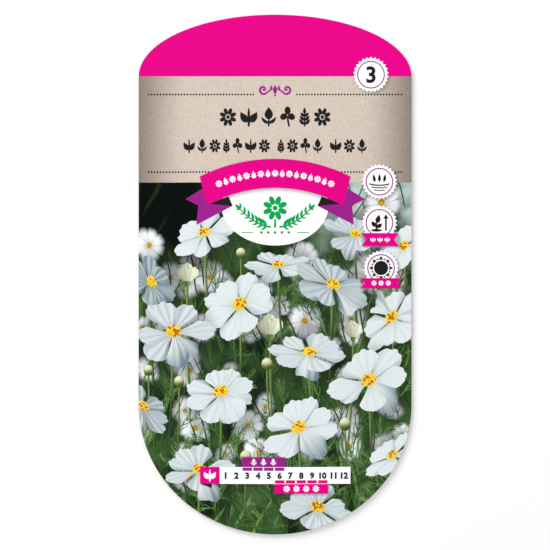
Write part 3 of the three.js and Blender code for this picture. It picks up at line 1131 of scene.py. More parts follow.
def blades(tree, x, y, turn, pitch, width, seed, soft):
    """Long thin leaves that all run about one way: how much of a blade covers a point.

    Lines a pitch apart are bent by slow noise, and each is moved aside, thinned and broken by noise of its
    own along its length.
    """
    c, s = math.cos(turn), math.sin(turn)
    sideways = x * c + y * s
    forward = y * c - x * s
    bend = noise(tree, vector(tree, sideways * 0.035, forward * 0.035, seed), detail=1.0)
    line = sideways / pitch + (bend - 0.5) * 5.0
    number = line.floor()
    weight = noise(tree, vector(tree, number * 7.31, forward * 0.045, seed + 3.0), detail=0.0)
    aside = noise(tree, vector(tree, number * 3.17, forward * 0.02, seed + 9.0), detail=0.0)
    away = abs(line - number - 0.5 + (aside - 0.5) * 0.9)
    return (weight.step(0.46, 0.62) * width - away).step(0.0, soft)


def picture_surface(name):
    """The picture's far field: white flowers out of focus before a dark, blurred hedge of thin leaves."""
    material, tree, shader, (x, y, _) = card_surface(name, roughness=0.48)
    group = bloom_group()
    haze = noise(tree, vector(tree, x * 0.06, y * 0.06), detail=3.0)
    streaks = noise(tree, vector(tree, x * 0.22, y * 0.07, 3.0), detail=2.0)
    gloom = haze.step(0.32, 0.70) * 0.75 + streaks.step(0.35, 0.75) * 0.35
    colour = blend(tree, gloom, *HEDGE_SHADES)

    def add_bloom(under, centre_x, centre_y, radius, spin, lean, lean_to, seed, blur):
        """One far flower. The values are in the order of the group's sockets."""
        node = tree.nodes.new("ShaderNodeGroup")
        node.node_tree = group
        values = (under, x, y, centre_x, centre_y, radius, spin, lean, lean_to, seed, blur)
        for socket, value in zip(node.inputs, values):
            feed(tree, socket, value)
        return node.outputs["Over"]

    def add_scatter(under, pitch, radius, blur, seed, share, low, high):
        """Far flowers round a share of the cell points between two heights, of random size and lean."""
        shift = seed * 31.0
        at = vector(tree, (x + shift) / pitch, (y - shift) / pitch)
        _, where, (lot_a, lot_b, lot_c) = cells(tree, at, randomness=0.4)
        up = where[1] * pitch + shift
        within = up.step(low - 6.0, low + 6.0) * up.step(high + 4.0, high - 4.0)
        shown = (lot_a + within * share).step(1.0, 1.004)
        size = shown * (lot_b * 0.4 + 0.6) * radius + 0.001
        across = where[0] * pitch - shift
        return add_bloom(under, across, up, size, lot_b * 6.0, lot_c * 0.9, lot_b * 9.0, lot_c * 40.0, blur)

    def add_blades(under, turn, pitch, width, seed, colour, soft=0.06, share=1.0):
        return blend(tree, blades(tree, x, y, turn, pitch, width, seed, soft) * share, under, colour)

    colour = add_blades(colour, 0.10, 4.2, 0.16, 2.0, srgb(78, 118, 56), soft=0.20)
    colour = add_scatter(colour, 12.5, 4.9, 0.95, 1.0, 0.57, -66.0, 40.0)
    colour = add_blades(colour, -0.14, 5.0, 0.13, 5.0, srgb(104, 146, 74), soft=0.10)
    colour = add_scatter(colour, 16.0, 6.2, 0.50, 2.0, 0.57, -66.0, 40.0)
    colour = add_scatter(colour, 14.0, 5.8, 0.62, 3.0, 0.90, -22.0, 8.0)
    clouds = noise(tree, vector(tree, x * 0.09, y * 0.11, 6.0), detail=3.0)
    mist = clouds.step(0.36, 0.58) * x.step(*MIST[1]) * y.step(*MIST[0])  # the upper right corner is pale
    colour = blend(tree, mist * 0.85, colour, srgb(190, 208, 206))
    colour = add_blades(colour, 0.32, 2.6, 0.12, 8.0, srgb(40, 78, 34))
    colour = add_blades(colour, -0.38, 2.4, 0.11, 11.0, srgb(62, 104, 48))
    foot = y.step(*FOOT_THICKET)  # the leaves thicken towards the foot
    colour = add_blades(colour, 0.60, 1.7, 0.14, 14.0, srgb(20, 50, 24), soft=0.20, share=foot * 0.9)
    colour = add_blades(colour, -0.70, 1.5, 0.12, 17.0, srgb(22, 54, 26), soft=0.20, share=foot * 0.9)
    dusk = y.step(*DUSK[0]) * x.step(*DUSK[1])  # the upper left corner is nearly black
    colour = blend(tree, dusk, colour, srgb(6, 10, 10))
    colour = add_blades(colour, -0.75, 5.4, 0.18, 22.0, srgb(58, 96, 44), soft=0.34, share=dusk * 0.5)
    for number, (*flower, blur) in enumerate(FAR_FLOWERS):
        colour = add_bloom(colour, *flower, number + 1.3, blur)
    light = label_light(x, y)
    for left, up, size, *_ in NEAR_FLOWERS:
        away = distance((x - left) * (1 / size) - 0.10, (y - up) * (1 / size) + 0.16)
        light = away.step(0.72, 1.30, 0.45, 1.0).smallest(light)
    colour = blend(tree, light, srgb(6, 12, 8), colour)
    feed(tree, shader.inputs["Base Color"], colour)
    return material


def print_surface(name):
    """The picture's petals and leaves, in the colours kept with their points, with a fine printed grain."""
    material, tree, shader, (x, y, _) = card_surface(name, roughness=0.48)
    colours = tree.nodes.new("ShaderNodeAttribute")
    colours.attribute_name = TONES
    specks = noise(tree, vector(tree, x, y), scale=4.0, detail=2.0)
    light = specks.step(0.25, 0.75, 0.92, 1.0) * label_light(x, y)
    feed(tree, shader.inputs["Base Color"], blend(tree, light, SHADOW, colours.outputs["Color"]))
    return material


# --------------------------------------------------------------------------- what a user can change
def colour_setting(name, description, default):
    """A setting that holds a colour."""
    return bpy.props.FloatVectorProperty(
        name=name, description=description, default=default, size=4, min=0.0, max=1.0, subtype="COLOR"
    )


class PacketInks(bpy.types.PropertyGroup):
    """The colours of the packet's inks and of its card"""

    magenta: colour_setting("Magenta", "The head's field, the banner and the ribbons", srgb(231, 0, 136))
    purple: colour_setting("Purple", "The banner's tails, the rings and the sowing bar", srgb(157, 34, 139))
    black: colour_setting("Black", "The ornaments and the pictures on the badges", srgb(35, 31, 32))
    white: colour_setting("White", "The badges, the plate and the calendar", srgb(255, 255, 255))
    green: colour_setting("Green", "The sprig on the plate", srgb(8, 166, 82))
    linen: colour_setting("Linen", "The middle of the linen panel", srgb(211, 196, 183))
    linen_edge: colour_setting("Linen edge", "The linen where it darkens to the edge", srgb(112, 100, 92))
    card: colour_setting("Card", "The bare card, at its cut edge", srgb(244, 242, 238))


class PacketPicture(bpy.types.PropertyGroup):
    """The size of the picture's near flowers"""

    flower_size: bpy.props.FloatProperty(
        name="Flower size", description="Size of the near flowers, as a share", default=1.0, min=0.5, max=1.5,
        subtype="FACTOR",
    )


class PacketStage(bpy.types.PropertyGroup):
    """The studio's camera and lights"""

    view_height: bpy.props.FloatProperty(
        name="View height", description="Height that the camera sees at the print", default=0.1693,
        unit="LENGTH",
    )
    lens: bpy.props.FloatProperty(
        name="Lens", description="Focal length of the camera", default=110.0, unit="CAMERA"
    )
    sky: bpy.props.FloatProperty(
        name="Sky", description="Brightness of the even light from all round", default=0.76, min=0.0
    )
    key: bpy.props.FloatProperty(
        name="Key light", description="Power of the large soft light at the upper left", default=9.4,
        unit="POWER",
    )


def inks():
    """The colours as they are set in the scene."""
    return bpy.context.scene.packet_inks


def shared_ink(colour_name):
    """The ink of one of the packet's colours, made once and then shared."""
    name = f"ink {colour_name}"
    return bpy.data.materials.get(name) or ink(name, getattr(inks(), colour_name))


# --------------------------------------------------------------------------- the pieces
class PACKET_OT_cards(bpy.types.Operator):
    """Makes the two shaped cards, in place of the plain solids"""

    bl_idname = "packet.cards"
    bl_label = "Cards"

    def execute(self, context):
        card = ink("bare card", inks().card, roughness=0.6)
        shape = triangles_of(*across(BOTTOM, TOP))
        faces = closed_sheet(*shape, front_height, front_inner_height)
        front = new_piece("front_card", [(*faces, 0)], [card])
        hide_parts("front_panel")
        faces = closed_sheet(*shape, back_inner_height, back_height)
        back = new_piece("back_card", [(*faces, 0)], [card])
        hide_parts("back_panel")
        return {"FINISHED"}


class PACKET_OT_fields(bpy.types.Operator):
    """Prints the head's field, the linen panel and the picture, which cover the front edge to edge"""

    bl_idname = "packet.fields"
    bl_label = "Printed fields"

    def execute(self, context):
        palette = inks()
        linen = linen_surface("printed linen", palette.linen, palette.linen_edge)
        films("print_head_field", [(1, 0, [across(LINEN_HEAD, TOP)])], [shared_ink("magenta")], base=0)
        films("print_linen", [(1, 0, [across(LINEN_FOOT, LINEN_HEAD)])], [linen], base=0)
        far_field = picture_surface("printed far field")
        films("print_far_field", [(1, 0, [across(BOTTOM, LINEN_FOOT)])], [far_field], base=0)
        return {"FINISHED"}


class PACKET_OT_leaves(bpy.types.Operator):
    """Prints the picture's thread-like leaves and its buds, which thicken towards the foot"""

    bl_idname = "packet.leaves"
    bl_label = "Printed leaves and buds"

    def execute(self, context):
        rng = np.random.default_rng(11)
        surface = print_surface("printed leaves")
        sheets = []
        for number in range(LEAVES):
            y = LINEN_FOOT - (LINEN_FOOT - BOTTOM) * rng.uniform(0.10, 1.0) ** 0.62
            x = rng.uniform(-HALF_WIDTH, HALF_WIDTH)
            heading = math.pi / 2 + rng.normal(0, 0.7)
            level = LEAF_LEVEL + FILM_STEP * LEAF_LAYERS * (number * GOLDEN % 1.0)
            light = 0.15 + 0.70 * rng.random() * (0.3 + 0.7 * number / LEAVES)
            sheets += feather_films(x, y, rng.uniform(6.0, 12.0), heading, level, light, rng)
        for number in range(FOOT_LEAVES):
            x, y = rng.uniform(-HALF_WIDTH, HALF_WIDTH), rng.uniform(*LEAF_FOOT)
            level = LEAF_LEVEL + FILM_STEP * LEAF_LAYERS * ((number + 0.5) * GOLDEN % 1.0)
            size, heading, light = rng.uniform(3.5, 7.0), rng.uniform(0, math.pi), rng.uniform(0.1, 1.2)
            sheets += feather_films(x, y, size, heading, level, light, rng)
        for x, y, radius, reach in BUDS:
            sheets += bud_films(x, y, radius, reach, FLOWER_LEVEL - 2 * FILM_STEP, rng)
        for x, y, radius in OPENING:
            bend = rng.uniform(-SLIGHT_BEND, SLIGHT_BEND)
            sheets.append(stem_film(x, y, STEM_REACH, bend, STEM_HALF_WIDTH, OPENING_LEVEL - FILM_STEP))
            sheets += opening_films(x, y, radius, OPENING_LEVEL, rng)
        tinted_piece("print_leaves", sheets, [surface])
        return {"FINISHED"}


class PACKET_OT_flowers(bpy.types.Operator):
    """Prints the picture's near flowers, each over those behind it"""

    bl_idname = "packet.flowers"
    bl_label = "Printed flowers"

    def execute(self, context):
        rng = np.random.default_rng(5)
        surface = print_surface("printed flowers")
        scale = context.scene.packet_picture.flower_size
        near = [(x, y, radius * scale, *rest) for x, y, radius, *rest in NEAR_FLOWERS]
        levels = stacked_levels()
        half = len(near) // 2
        numbers = {"print_flowers_behind": range(half), "print_flowers_before": range(half, len(near))}
        for name, group in numbers.items():
            sheets = []
            for number in group:
                x, y, radius, lean, lean_to = near[number]
                level = levels[number]
                later = [flower[:3] for flower in near[number + 1 :]]
                bend = rng.uniform(-STEM_BEND, STEM_BEND)
                reach = STEM_REACH * rng.uniform(0.7, 1.0)
                sheets.append(stem_film(x, y, reach, bend, STEM_HALF_WIDTH, level, later))
                sheets += flower_films(x, y, radius, lean, lean_to, level, later, rng)
            tinted_piece(name, sheets, [surface])
        return {"FINISHED"}


def dot_row(height, free):
    """Small dots on both sides of the middle, from the reach of the row in to the free width."""
    places = np.arange(DOT_REACH, free, -DOT_PITCH)
    return [round_shape(side * x, height, DOT_RADIUS, spokes=8) for x in places for side in (-1, 1)]


class PACKET_OT_dotted_lines(bpy.types.Operator):
    """Prints the two dotted lines across the linen panel"""

    bl_idname = "packet.dotted_lines"
    bl_label = "Dotted lines"

    def execute(self, context):
        dots = dot_row(*UPPER_DOTS) + dot_row(*LOWER_DOTS)
        films("print_dotted_lines", [(2, 0, dots)], [shared_ink("black")])
        return {"FINISHED"}


def oval(x, y, reach, half_width, turn=0.0):
    """An ellipse, turned about its own middle."""
    return spun(round_shape(0, 0, reach, spokes=20, stretch=half_width / reach), x, y, turn)


def scaled(shapes, scale):
    """The same shapes, larger or smaller about the origin."""
    return [tuple(part * scale for part in shape) for shape in shapes]


def sprout(scale):
    """A stem between two broad leaves, upright on the origin."""
    stem = stroke([0, 0, 0, 0], [-1.0, -0.3, 0.4, 0.95], np.array([0.11, 0.15, 0.14, 0.06]))
    leaves = [leaf(0, -0.45, 1.4, 0.78, math.pi / 2 + side * 0.78, -side * 0.9) for side in (-1, 1)]
    return scaled([stem, *leaves], scale)


def heart_bud(scale):
    """A bud: a pointed oval on a stem, between two narrow sepals."""
    bud = leaf(0, -0.30, 1.35, 0.95, math.pi / 2)
    sepals = [leaf(0, -0.62, 1.1, 0.36, math.pi / 2 + side * 0.95, -side * 1.0) for side in (-1, 1)]
    stem = stroke([0, 0, 0], [-1.0, -0.7, -0.3], np.array([0.08, 0.11, 0.12]))
    return scaled([bud, stem, *sepals], scale)


def flower_mark(scale):
    """An open flower with eight oval petals round an eye."""
    turns = np.arange(PETALS) * 2 * math.pi / PETALS + math.pi / PETALS
    petals = [oval(0.63 * math.cos(turn), 0.63 * math.sin(turn), 0.36, 0.215, turn) for turn in turns]
    return scaled([round_shape(0, 0, 0.20, spokes=16), *petals], scale)


def leafy_stem(scale):
    """An upright stem with three pairs of leaves that shorten upwards, and a leaf at its tip."""
    stem = stroke([0, 0, 0], [-1.0, -0.2, 0.5], np.array([0.09, 0.09, 0.06]))
    leaves = [
        leaf(0, -0.75 + 0.42 * pair, 0.85 - 0.12 * pair, 0.36, math.pi / 2 + side * 0.9, -side * 0.7, rows=7)
        for pair in range(3)
        for side in (-1, 1)
    ]
    return scaled([stem, leaf(0, 0.30, 0.72, 0.36, math.pi / 2, rows=7), *leaves], scale)


def clover(scale):
    """Three round leaves on a bent stem."""
    turns = [math.pi / 2, math.pi * 1.12, -math.pi * 0.12]
    leaves = [oval(0.47 * math.cos(turn), 0.22 + 0.47 * math.sin(turn), 0.42, 0.34, turn) for turn in turns]
    stem = stroke([0, 0.05, 0.18], [0.1, -0.4, -1.0], np.array([0.08, 0.11, 0.10]))
    return scaled([stem, *leaves], scale)


MARKS = {"f": flower_mark, "s": sprout, "b": heart_bud, "l": leafy_stem, "c": clover}


def mark_row(kind, count, pitch, size, x, y):
    """The same mark several times side by side, about (x, y)."""
    steps = [number - (count - 1) / 2 for number in range(count)]
    return [spun(shape, x + step * pitch, y) for step in steps for shape in kind(size)]


def ornament_row(height, reach, size, marks, squeeze):
    """Ornaments side by side from -reach to reach, one for each letter of marks.

    Each takes its own width, made narrower by squeeze. The free width is shared out between them, and a
    space in marks is worth three of the gaps.
    """
    drawn = [[(squeeze * x, y) for x, y in MARKS[mark](size)] if mark in MARKS else [] for mark in marks]
    half_widths = [max((float(np.abs(x).max()) for x, _ in shapes), default=0.0) for shapes in drawn]
    gap = (2 * reach - 2 * sum(half_widths)) / (len(marks) - 1)
    middle = -reach
    placed = []
    for shapes, half_width in zip(drawn, half_widths):
        middle += half_width
        placed += [(x + middle, y + height) for x, y in shapes]
        middle += half_width + gap
    return placed


def flourish(x, y):
    """A scroll: on each side a stroke that runs out and curls up in a spiral, and a leaf between them."""
    turn = np.linspace(-1.9, 4.3, 26)
    reach = 1.42 - 0.17 * (turn + 1.9)
    lead = np.linspace(0, 1, 8)[:-1]
    path_x = np.concatenate([0.35 + 2.75 * lead, 3.55 + reach * np.cos(turn)])
    path_y = np.concatenate([0.35 - 1.70 * lead**1.3, reach * np.sin(turn)])
    weight = 0.10 + 0.24 * np.sin(math.pi * np.linspace(0, 1, len(path_x)) ** 0.8)
    shapes = [leaf(0, -1.45, 3.0, 1.25, math.pi / 2), oval(0, -1.75, 0.32, 0.32)]
    for side in (-1, 1):
        shapes.append(stroke(side * path_x, path_y, weight))
        shapes.append(oval(side * 3.55, 0.0, 0.36, 0.36))
        shapes.append(leaf(side * 1.5, -0.2, 1.7, 0.7, math.pi / 2 + side * 0.25, -side * 0.6, rows=9))
    return [(x + shape[0], y + shape[1]) for shape in shapes]


class PACKET_OT_title_ornaments(bpy.types.Operator):
    """Prints the two rows of ornaments in the linen panel, and the small flourish over them"""

    bl_idname = "packet.title_ornaments"
    bl_label = "Title ornaments"

    def execute(self, context):
        rows = ornament_row(*UPPER_ORNAMENTS) + ornament_row(*LOWER_ORNAMENTS)
        films("print_title_ornaments", [(2, 0, rows)], [shared_ink("black")])
        films("print_flourish", [(2, 0, flourish(*FLOURISH))], [shared_ink("purple")])
        return {"FINISHED"}


def swallow_tail(left, right, low, high, notch):
    """A ribbon with a notch cut into both its ends: each end runs in to the middle of the ribbon's height."""
    v = np.linspace(0, 1, 5)[:, None]
    u = np.linspace(0, 1, 9)[None, :]
    cut = notch * (1 - np.abs(2 * v - 1))
    return (left + cut) * (1 - u) + (right - cut) * u, low + (high - low) * v + 0 * u


def badge(x, y):
    """A white badge with a toothed edge, and a thin ring inside it."""
    disc = round_shape(x, y, toothed(BADGE_RADIUS, BADGE_TEETH, TOOTH_DEPTH), rings=5, spokes=BADGE_TEETH * 4)
    outer, inner = BADGE_RING + RING_HALF_WIDTH, BADGE_RING - RING_HALF_WIDTH
    ring = round_shape(x, y, outer, inner=inner / outer, spokes=72)
    return disc, ring


def seeds_and_soil(x, y):
    """Three seeds over the lines of a drill of soil, each line a shallow parabola."""
    t = np.linspace(-1, 1, 9)
    shapes = []
    for side in (-1, 0, 1):
        shapes.append(leaf(x + side * 1.35, y - 0.1, 2.5, 0.9, math.pi / 2 - side * 0.18, side * 0.3))
    lines = ((3.1, 1.1, 0.45, 0.2), (2.5, 1.9, 0.35, 0.16), (1.7, 2.7, 0.25, 0.14))
    for reach, drop, sag, half_width in lines:
        shapes.append(stroke(x + reach * t, y - drop + sag * t**2, np.full(9, half_width)))
    return shapes


def young_plant(x, y):
    """A young plant on a mound of soil, beside an arrow that points up."""
    stem_x, ground = x - 0.9, y - 2.3
    arrow_x = x + 2.0
    return [
        oval(stem_x, ground, 1.65, 0.42),
        stroke(
            [stem_x, stem_x - 0.05, stem_x + 0.1],
            ground + np.array([0.0, 1.4, 3.2]),
            np.array([0.34, 0.24, 0.14]),
        ),
        leaf(stem_x, ground + 2.2, 2.75, 1.55, 1.25, 0.3),
        leaf(stem_x, ground + 1.2, 2.2, 1.35, 2.35, -0.5),
        leaf(stem_x, ground + 0.9, 2.1, 1.25, 0.60, 0.5),
        stroke([arrow_x] * 5, ground + np.linspace(-0.1, 4.0, 5), np.full(5, 0.26)),
        triangle((arrow_x - 0.8, ground + 3.6), (arrow_x + 0.8, ground + 3.6), (arrow_x, ground + 5.0)),
    ]


def sun(x, y, rays=8):
    """A disc in a ring of pointed rays, with a dot between each two of them."""
    shapes = [round_shape(x, y, 2.2, rings=4, spokes=40)]
    for number in range(rays):
        turn = number * 2 * math.pi / rays
        shapes.append(spun(triangle((2.55, -0.72), (2.55, 0.72), (3.75, 0.0)), x, y, turn))
        between = turn + math.pi / rays
        shapes.append(oval(x + 2.9 * math.cos(between), y + 2.9 * math.sin(between), 0.26, 0.26))
    return shapes


class PACKET_OT_badges(bpy.types.Operator):
    """Prints the four round badges at the right of the packet, with their pictures and ribbons"""

    bl_idname = "packet.badges"
    bl_label = "Badges"

    def execute(self, context):
        black, white = shared_ink("black"), shared_ink("white")
        discs, rings = zip(*(badge(*at) for at in BADGES))
        films("print_badges", [(label(1), 0, discs), (label(2), 1, rings)], [white, shared_ink("purple")])
        ribbons, marks = [], []
        for box, kind in ((HEIGHT_RIBBON, sprout), (SUN_RIBBON, flower_mark)):
            left, right, low, high = box
            ribbons.append(swallow_tail(*box, RIBBON_NOTCH))
            marks += mark_row(kind, 3, RIBBON_PITCH, RIBBON_MARK, (left + right) / 2, (low + high) / 2)
        layers = [(label(3), 0, ribbons), (label(4), 1, marks)]
        films("print_badge_ribbons", layers, [shared_ink("magenta"), white])
        pictures = seeds_and_soil(*SEED_BADGE) + young_plant(*HEIGHT_BADGE) + sun(*SUN_BADGE)
        films("print_badge_pictures", [(label(2), 0, pictures)], [black])
        number = digit_shape("3", *NUMBER_BADGE, DIGIT_HEIGHT, bold=0.03)
        faces = closed_sheet(*number, *on_front(label(2), 1))
        new_piece("print_badge_number", [(*faces, 0)], [black])
        return {"FINISHED"}


def banner_beads():
    """Flowers and leafy stems by turns, along the middle of the banner's arc, each upright on it."""
    radius = sum(BANNER_RADII) / 2
    beads = []
    for number in range(-BANNER_BEADS, BANNER_BEADS + 1):
        angle = number / BANNER_BEADS * BANNER_BEAD_ANGLE
        x, y = radius * math.sin(angle), BANNER_CENTRE + radius * math.cos(angle)
        bead = flower_mark(1.1) if number % 2 == 0 else leafy_stem(1.2)
        beads += [spun(shape, x, y, -angle) for shape in bead]
    return beads


def leafy_branch():
    """The plate's right branch: a spine that rises as a power of its reach, with pairs of leaves along it."""
    t = np.linspace(0, 1, SPRIG_LEAVES + 1)
    spine_x, spine_y = 1.3 + 9.4 * t, 14.6 + 5.4 * t**1.8
    heading = np.arctan2(np.gradient(spine_y), np.gradient(spine_x))
    branch = [stroke(spine_x, spine_y, 0.32 - 0.14 * t)]
    for number in range(1, SPRIG_LEAVES + 1):
        for way in (-1, 1):
            size = (3.3 - 0.16 * number) * (1.0 if way > 0 else 0.66)
            turn = heading[number] + way * 0.75
            branch.append(leaf(spine_x[number], spine_y[number], size, 0.33 * size, turn, -way * 0.5))
    branch.append(leaf(spine_x[-1], spine_y[-1], 2.3, 0.95, heading[-1]))
    return branch


def sprig():
    """A flower between two leafy branches that mirror each other, over a broken rule with dots."""
    half = [*leafy_branch(), rectangle(*PLATE_RULE)]
    shapes = [(side * x, y) for side in (-1, 1) for x, y in half]
    flower_y, size = PLATE_FLOWER
    shapes += [spun(shape, 0.0, flower_y) for shape in flower_mark(size)]
    shapes.append(stroke([0, 0, 0], [14.4, 15.6, 17.0], np.array([0.36, 0.32, 0.28])))
    dots_y, pitch, radius = PLATE_DOTS
    return shapes + [oval(pitch * number, dots_y, radius, radius) for number in range(-2, 3)]


class PACKET_OT_banner(bpy.types.Operator):
    """Prints the arched banner, its two folded tails and the oval plate that hangs under it"""

    bl_idname = "packet.banner"
    bl_label = "Banner and plate"

    def execute(self, context):
        band = arc_band(0, BANNER_CENTRE, *BANNER_RADII, *BANNER_HALF_ANGLES)
        tails, folds = [], []
        for side in (-1, 1):
            mirror = np.array([side, 1])
            root, notch, fold = (np.array(points) * mirror for points in (TAIL_ROOT, TAIL_NOTCH, FOLD))
            upper, lower = (np.array(points) * mirror for points in (TAIL_UPPER, TAIL_LOWER))
            tails += [four_sided(*upper, notch, root), four_sided(root, notch, *lower)]
            folds.append(triangle(*fold, rows=11))
        films(
            "print_banner",
            [
                (label(3), 1, tails),
                (label(4), 2, folds),
                (label(5), 0, [band]),
                (label(6), 3, banner_beads()),
            ],
            [shared_ink("magenta"), shared_ink("purple"), shared_ink("black"), shared_ink("white")],
        )
        a, b = PLATE_RADII
        plate = round_shape(0, PLATE_CENTRE, a, rings=10, spokes=72, stretch=b / a)
        white = plate_surface("plate white", inks().white)
        films("print_plate", [(label(1), 0, [plate]), (label(2), 1, sprig())], [white, shared_ink("green")])
        return {"FINISHED"}


def month_x(number):
    """Where the middle of a month lies along the calendar, counted from 1."""
    return FIRST_MONTH + (number - 1) * MONTH_PITCH


def ticks(months, foot):
    """A bar for each of some months, standing on a height."""
    wide, high = TICK
    return [rectangle(month_x(n) - wide / 2, month_x(n) + wide / 2, foot, foot + high) for n in months]


class PACKET_OT_calendar(bpy.types.Operator):
    """Prints the calendar strip: twelve plain numbers, and bars over and under some of them"""

    bl_idname = "packet.calendar"
    bl_label = "Calendar"

    def execute(self, context):
        _, right, low, high = CALENDAR
        code_left = CODE_BOX[0]
        sowing = [rectangle(*SOWING_BOX)] + ticks(SOWING_MONTHS, high - 1.15)
        flowering = [rectangle(*FLOWERING_BOX)] + ticks(FLOWERING_MONTHS, low + 0.18)
        folds = [
            triangle((code_left, low), (code_left + 3.6, low), (code_left + 3.6, low - 1.3)),
            triangle((right - 3.7, low - 1.6), (right - 3.7, low), (right, low)),
        ]
        marks = []
        boxes = ((SOWING_BOX, heart_bud, 3), (FLOWERING_BOX, flower_mark, 4), (CODE_BOX, sprout, 1))
        for box, kind, count in boxes:
            x, y = (box[0] + box[1]) / 2, (box[2] + box[3]) / 2
            marks += mark_row(kind, count, BOX_PITCH, (box[3] - box[2]) * BOX_MARK, x, y)
        films(
            "print_calendar",
            [
                (label(1), 3, folds),
                (label(2), 0, [rectangle(*CALENDAR)]),
                (label(3), 1, [rectangle(*CODE_BOX)] + flowering),
                (label(3), 2, sowing),
                (label(4), 0, marks),
            ],
            [shared_ink("white"), shared_ink("magenta"), shared_ink("purple"), shared_ink("black")],
        )
        numbers = []
        for n in range(1, 13):
            number = digit_shape(str(n), month_x(n), (low + high) / 2 - 0.05, MONTH_HEIGHT, bold=0.055)
            numbers.append((*closed_sheet(*number, *on_front(label(3), 1)), 0))
        new_piece("print_month_numbers", numbers, [shared_ink("black")])
        return {"FINISHED"}


class PACKET_OT_back_print(bpy.types.Operator):
    """Prints the back of the packet: a coloured head and foot, and a pale panel with a row of pictures"""

    bl_idname = "packet.back_print"
    bl_label = "Back print"

    def execute(self, context):
        palette = inks()
        head = across(HEAD_Y, TOP, inset=BACK_MARGIN)
        foot = across(BOTTOM, BOTTOM + BACK_FOOT, inset=BACK_MARGIN)
        panel = across(LINEN_FOOT, HEAD_Y - 1.0, inset=BACK_MARGIN)
        linen = linen_surface("printed linen back", palette.linen, palette.linen_edge, shadows=False)
        rules = [
            rectangle(-RULE_REACH, RULE_REACH, y, y + RULE_WIDTH)
            for y in np.arange(*RULES)
            if not RULE_GAP[0] < y < RULE_GAP[1]
        ]
        height, pitch, size = BACK_MARKS
        marks = [
            spun(shape, pitch * (number - 1.5), height)
            for number, mark in enumerate("bslf")
            for shape in MARKS[mark](size)
        ]
        for name, layers, material in (
            ("print_back_fields", [(1, 0, [head]), (1, 0, [foot])], shared_ink("magenta")),
            ("print_back_linen", [(1, 0, [panel])], linen),
            ("print_back_marks", [(2, 0, rules + marks)], shared_ink("black")),
        ):
            films(name, layers, [material], on_back, base=0)
        return {"FINISHED"}


class PACKET_OT_contents(bpy.types.Operator):
    """Gives the sachet its waxy paper and the seeds their grainy brown coat"""

    bl_idname = "packet.contents"
    bl_label = "Sachet and seeds"

    def execute(self, context):
        glassine = ink("glassine", srgb(236, 229, 206), roughness=0.3, mottle=0.08)
        coat, tree, shader, (x, y, z) = card_surface("seed coat", roughness=0.75, grain=0.6)
        grain = noise(tree, vector(tree, x, y, z), scale=2.5, detail=5.0, roughness=0.7)
        colour = blend(tree, grain.step(0.3, 0.75), srgb(38, 27, 20), srgb(104, 78, 54))
        feed(tree, shader.inputs["Base Color"], colour)
        for name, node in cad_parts.items():
            if name.startswith(("sachet", "seed")):
                for slot in node.material_slots:
                    slot.material = glassine if name.startswith("sachet") else coat
        return {"FINISHED"}


FLOOR_REACH = 4.0  # the studio's own lengths are in metres
LAMP_PLACE = (-0.63, 0.82, 0.93)
LAMP_SIZE = 0.85
CAMERA_MIDDLE = (-0.00003, -0.00015)


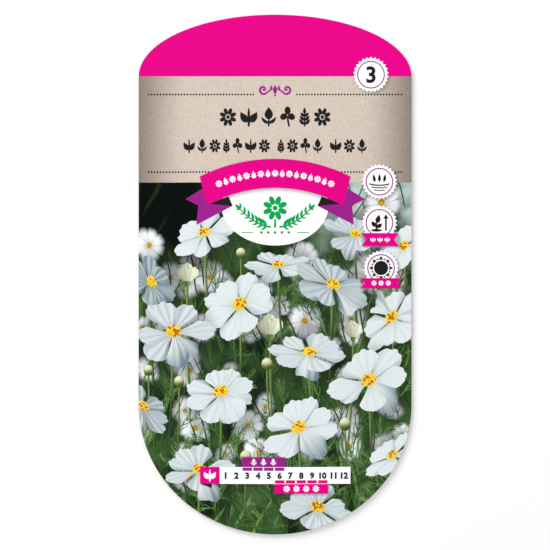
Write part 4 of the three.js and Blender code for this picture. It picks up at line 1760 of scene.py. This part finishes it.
class PACKET_OT_stage(bpy.types.Operator):
    """Lays the pale floor, lights it and sets up the camera straight over the packet"""

    bl_idname = "packet.stage"
    bl_label = "Studio"

    def execute(self, context):
        settings = context.scene.packet_stage
        context.scene.view_settings.view_transform = "Standard"
        floor, tree, shader, (x, y, _) = card_surface("studio floor", roughness=0.8, grain=0.02)
        haze = noise(tree, vector(tree, x, y), scale=0.01)
        tone = blend(tree, haze, srgb(250, 250, 250), srgb(254, 254, 254))
        feed(tree, shader.inputs["Base Color"], tone)
        mesh = bpy.data.meshes.new("floor")
        corners = [(x * FLOOR_REACH, y * FLOOR_REACH, 0) for x, y in ((-1, -1), (1, -1), (1, 1), (-1, 1))]
        mesh.from_pydata(corners, [], [(0, 1, 2, 3)])
        mesh.materials.append(floor)
        plane = bpy.data.objects.new("floor", mesh)
        context.scene.collection.objects.link(plane)

        world = bpy.data.worlds.new("studio")
        context.scene.world = world
        world.use_nodes = True
        sky = world.node_tree.nodes["Background"]
        sky.inputs["Color"].default_value = (1, 1, 1, 1)
        sky.inputs["Strength"].default_value = settings.sky

        lamp = bpy.data.lights.new("key light", "AREA")
        lamp.shape = "DISK"
        lamp.size = LAMP_SIZE
        lamp.energy = settings.key
        light = bpy.data.objects.new("key light", lamp)
        light.location = LAMP_PLACE
        context.scene.collection.objects.link(light)
        light.rotation_euler = (-light.location).to_track_quat("-Z", "Y").to_euler()

        lens = bpy.data.cameras.new("camera")
        lens.lens = settings.lens
        lens.clip_start = 0.01
        camera = bpy.data.objects.new("camera", lens)
        rim = (SEAM + CARD) * MM
        away = settings.view_height * settings.lens / lens.sensor_width
        camera.location = (*CAMERA_MIDDLE, rim + away)
        context.scene.collection.objects.link(camera)
        context.scene.camera = camera
        return {"FINISHED"}


OPERATORS = [
    PACKET_OT_cards,
    PACKET_OT_fields,
    PACKET_OT_leaves,
    PACKET_OT_flowers,
    PACKET_OT_dotted_lines,
    PACKET_OT_title_ornaments,
    PACKET_OT_banner,
    PACKET_OT_badges,
    PACKET_OT_calendar,
    PACKET_OT_back_print,
    PACKET_OT_contents,
    PACKET_OT_stage,
]


class PACKET_PT_panel(bpy.types.Panel):
    """Lists the packet's pieces and settings"""

    bl_label = "Seed packet"
    bl_idname = "PACKET_PT_panel"
    bl_space_type = "VIEW_3D"
    bl_region_type = "UI"
    bl_category = "Seed packet"

    def draw(self, context):
        for operator in OPERATORS:
            self.layout.operator(operator.bl_idname)
        for group in ("packet_inks", "packet_picture", "packet_stage"):
            settings = getattr(context.scene, group)
            box = self.layout.box()
            for name in settings.__annotations__:
                box.prop(settings, name)


SETTINGS = {"packet_inks": PacketInks, "packet_picture": PacketPicture, "packet_stage": PacketStage}


def register():
    """Makes the settings, the operators and the panel known to Blender."""
    for name, group in SETTINGS.items():
        bpy.utils.register_class(group)
        setattr(bpy.types.Scene, name, bpy.props.PointerProperty(type=group))
    for item in [*OPERATORS, PACKET_PT_panel]:
        bpy.utils.register_class(item)


def unregister():
    """Takes them away again, in the opposite order."""
    for item in [PACKET_PT_panel, *reversed(OPERATORS)]:
        bpy.utils.unregister_class(item)
    for name, group in SETTINGS.items():
        delattr(bpy.types.Scene, name)
        bpy.utils.unregister_class(group)


def main():
    """Runs the operators in order."""
    register()
    for operator in OPERATORS:
        group, name = operator.bl_idname.split(".")
        getattr(getattr(bpy.ops, group), name)()


if __name__ == "__main__":
    main()
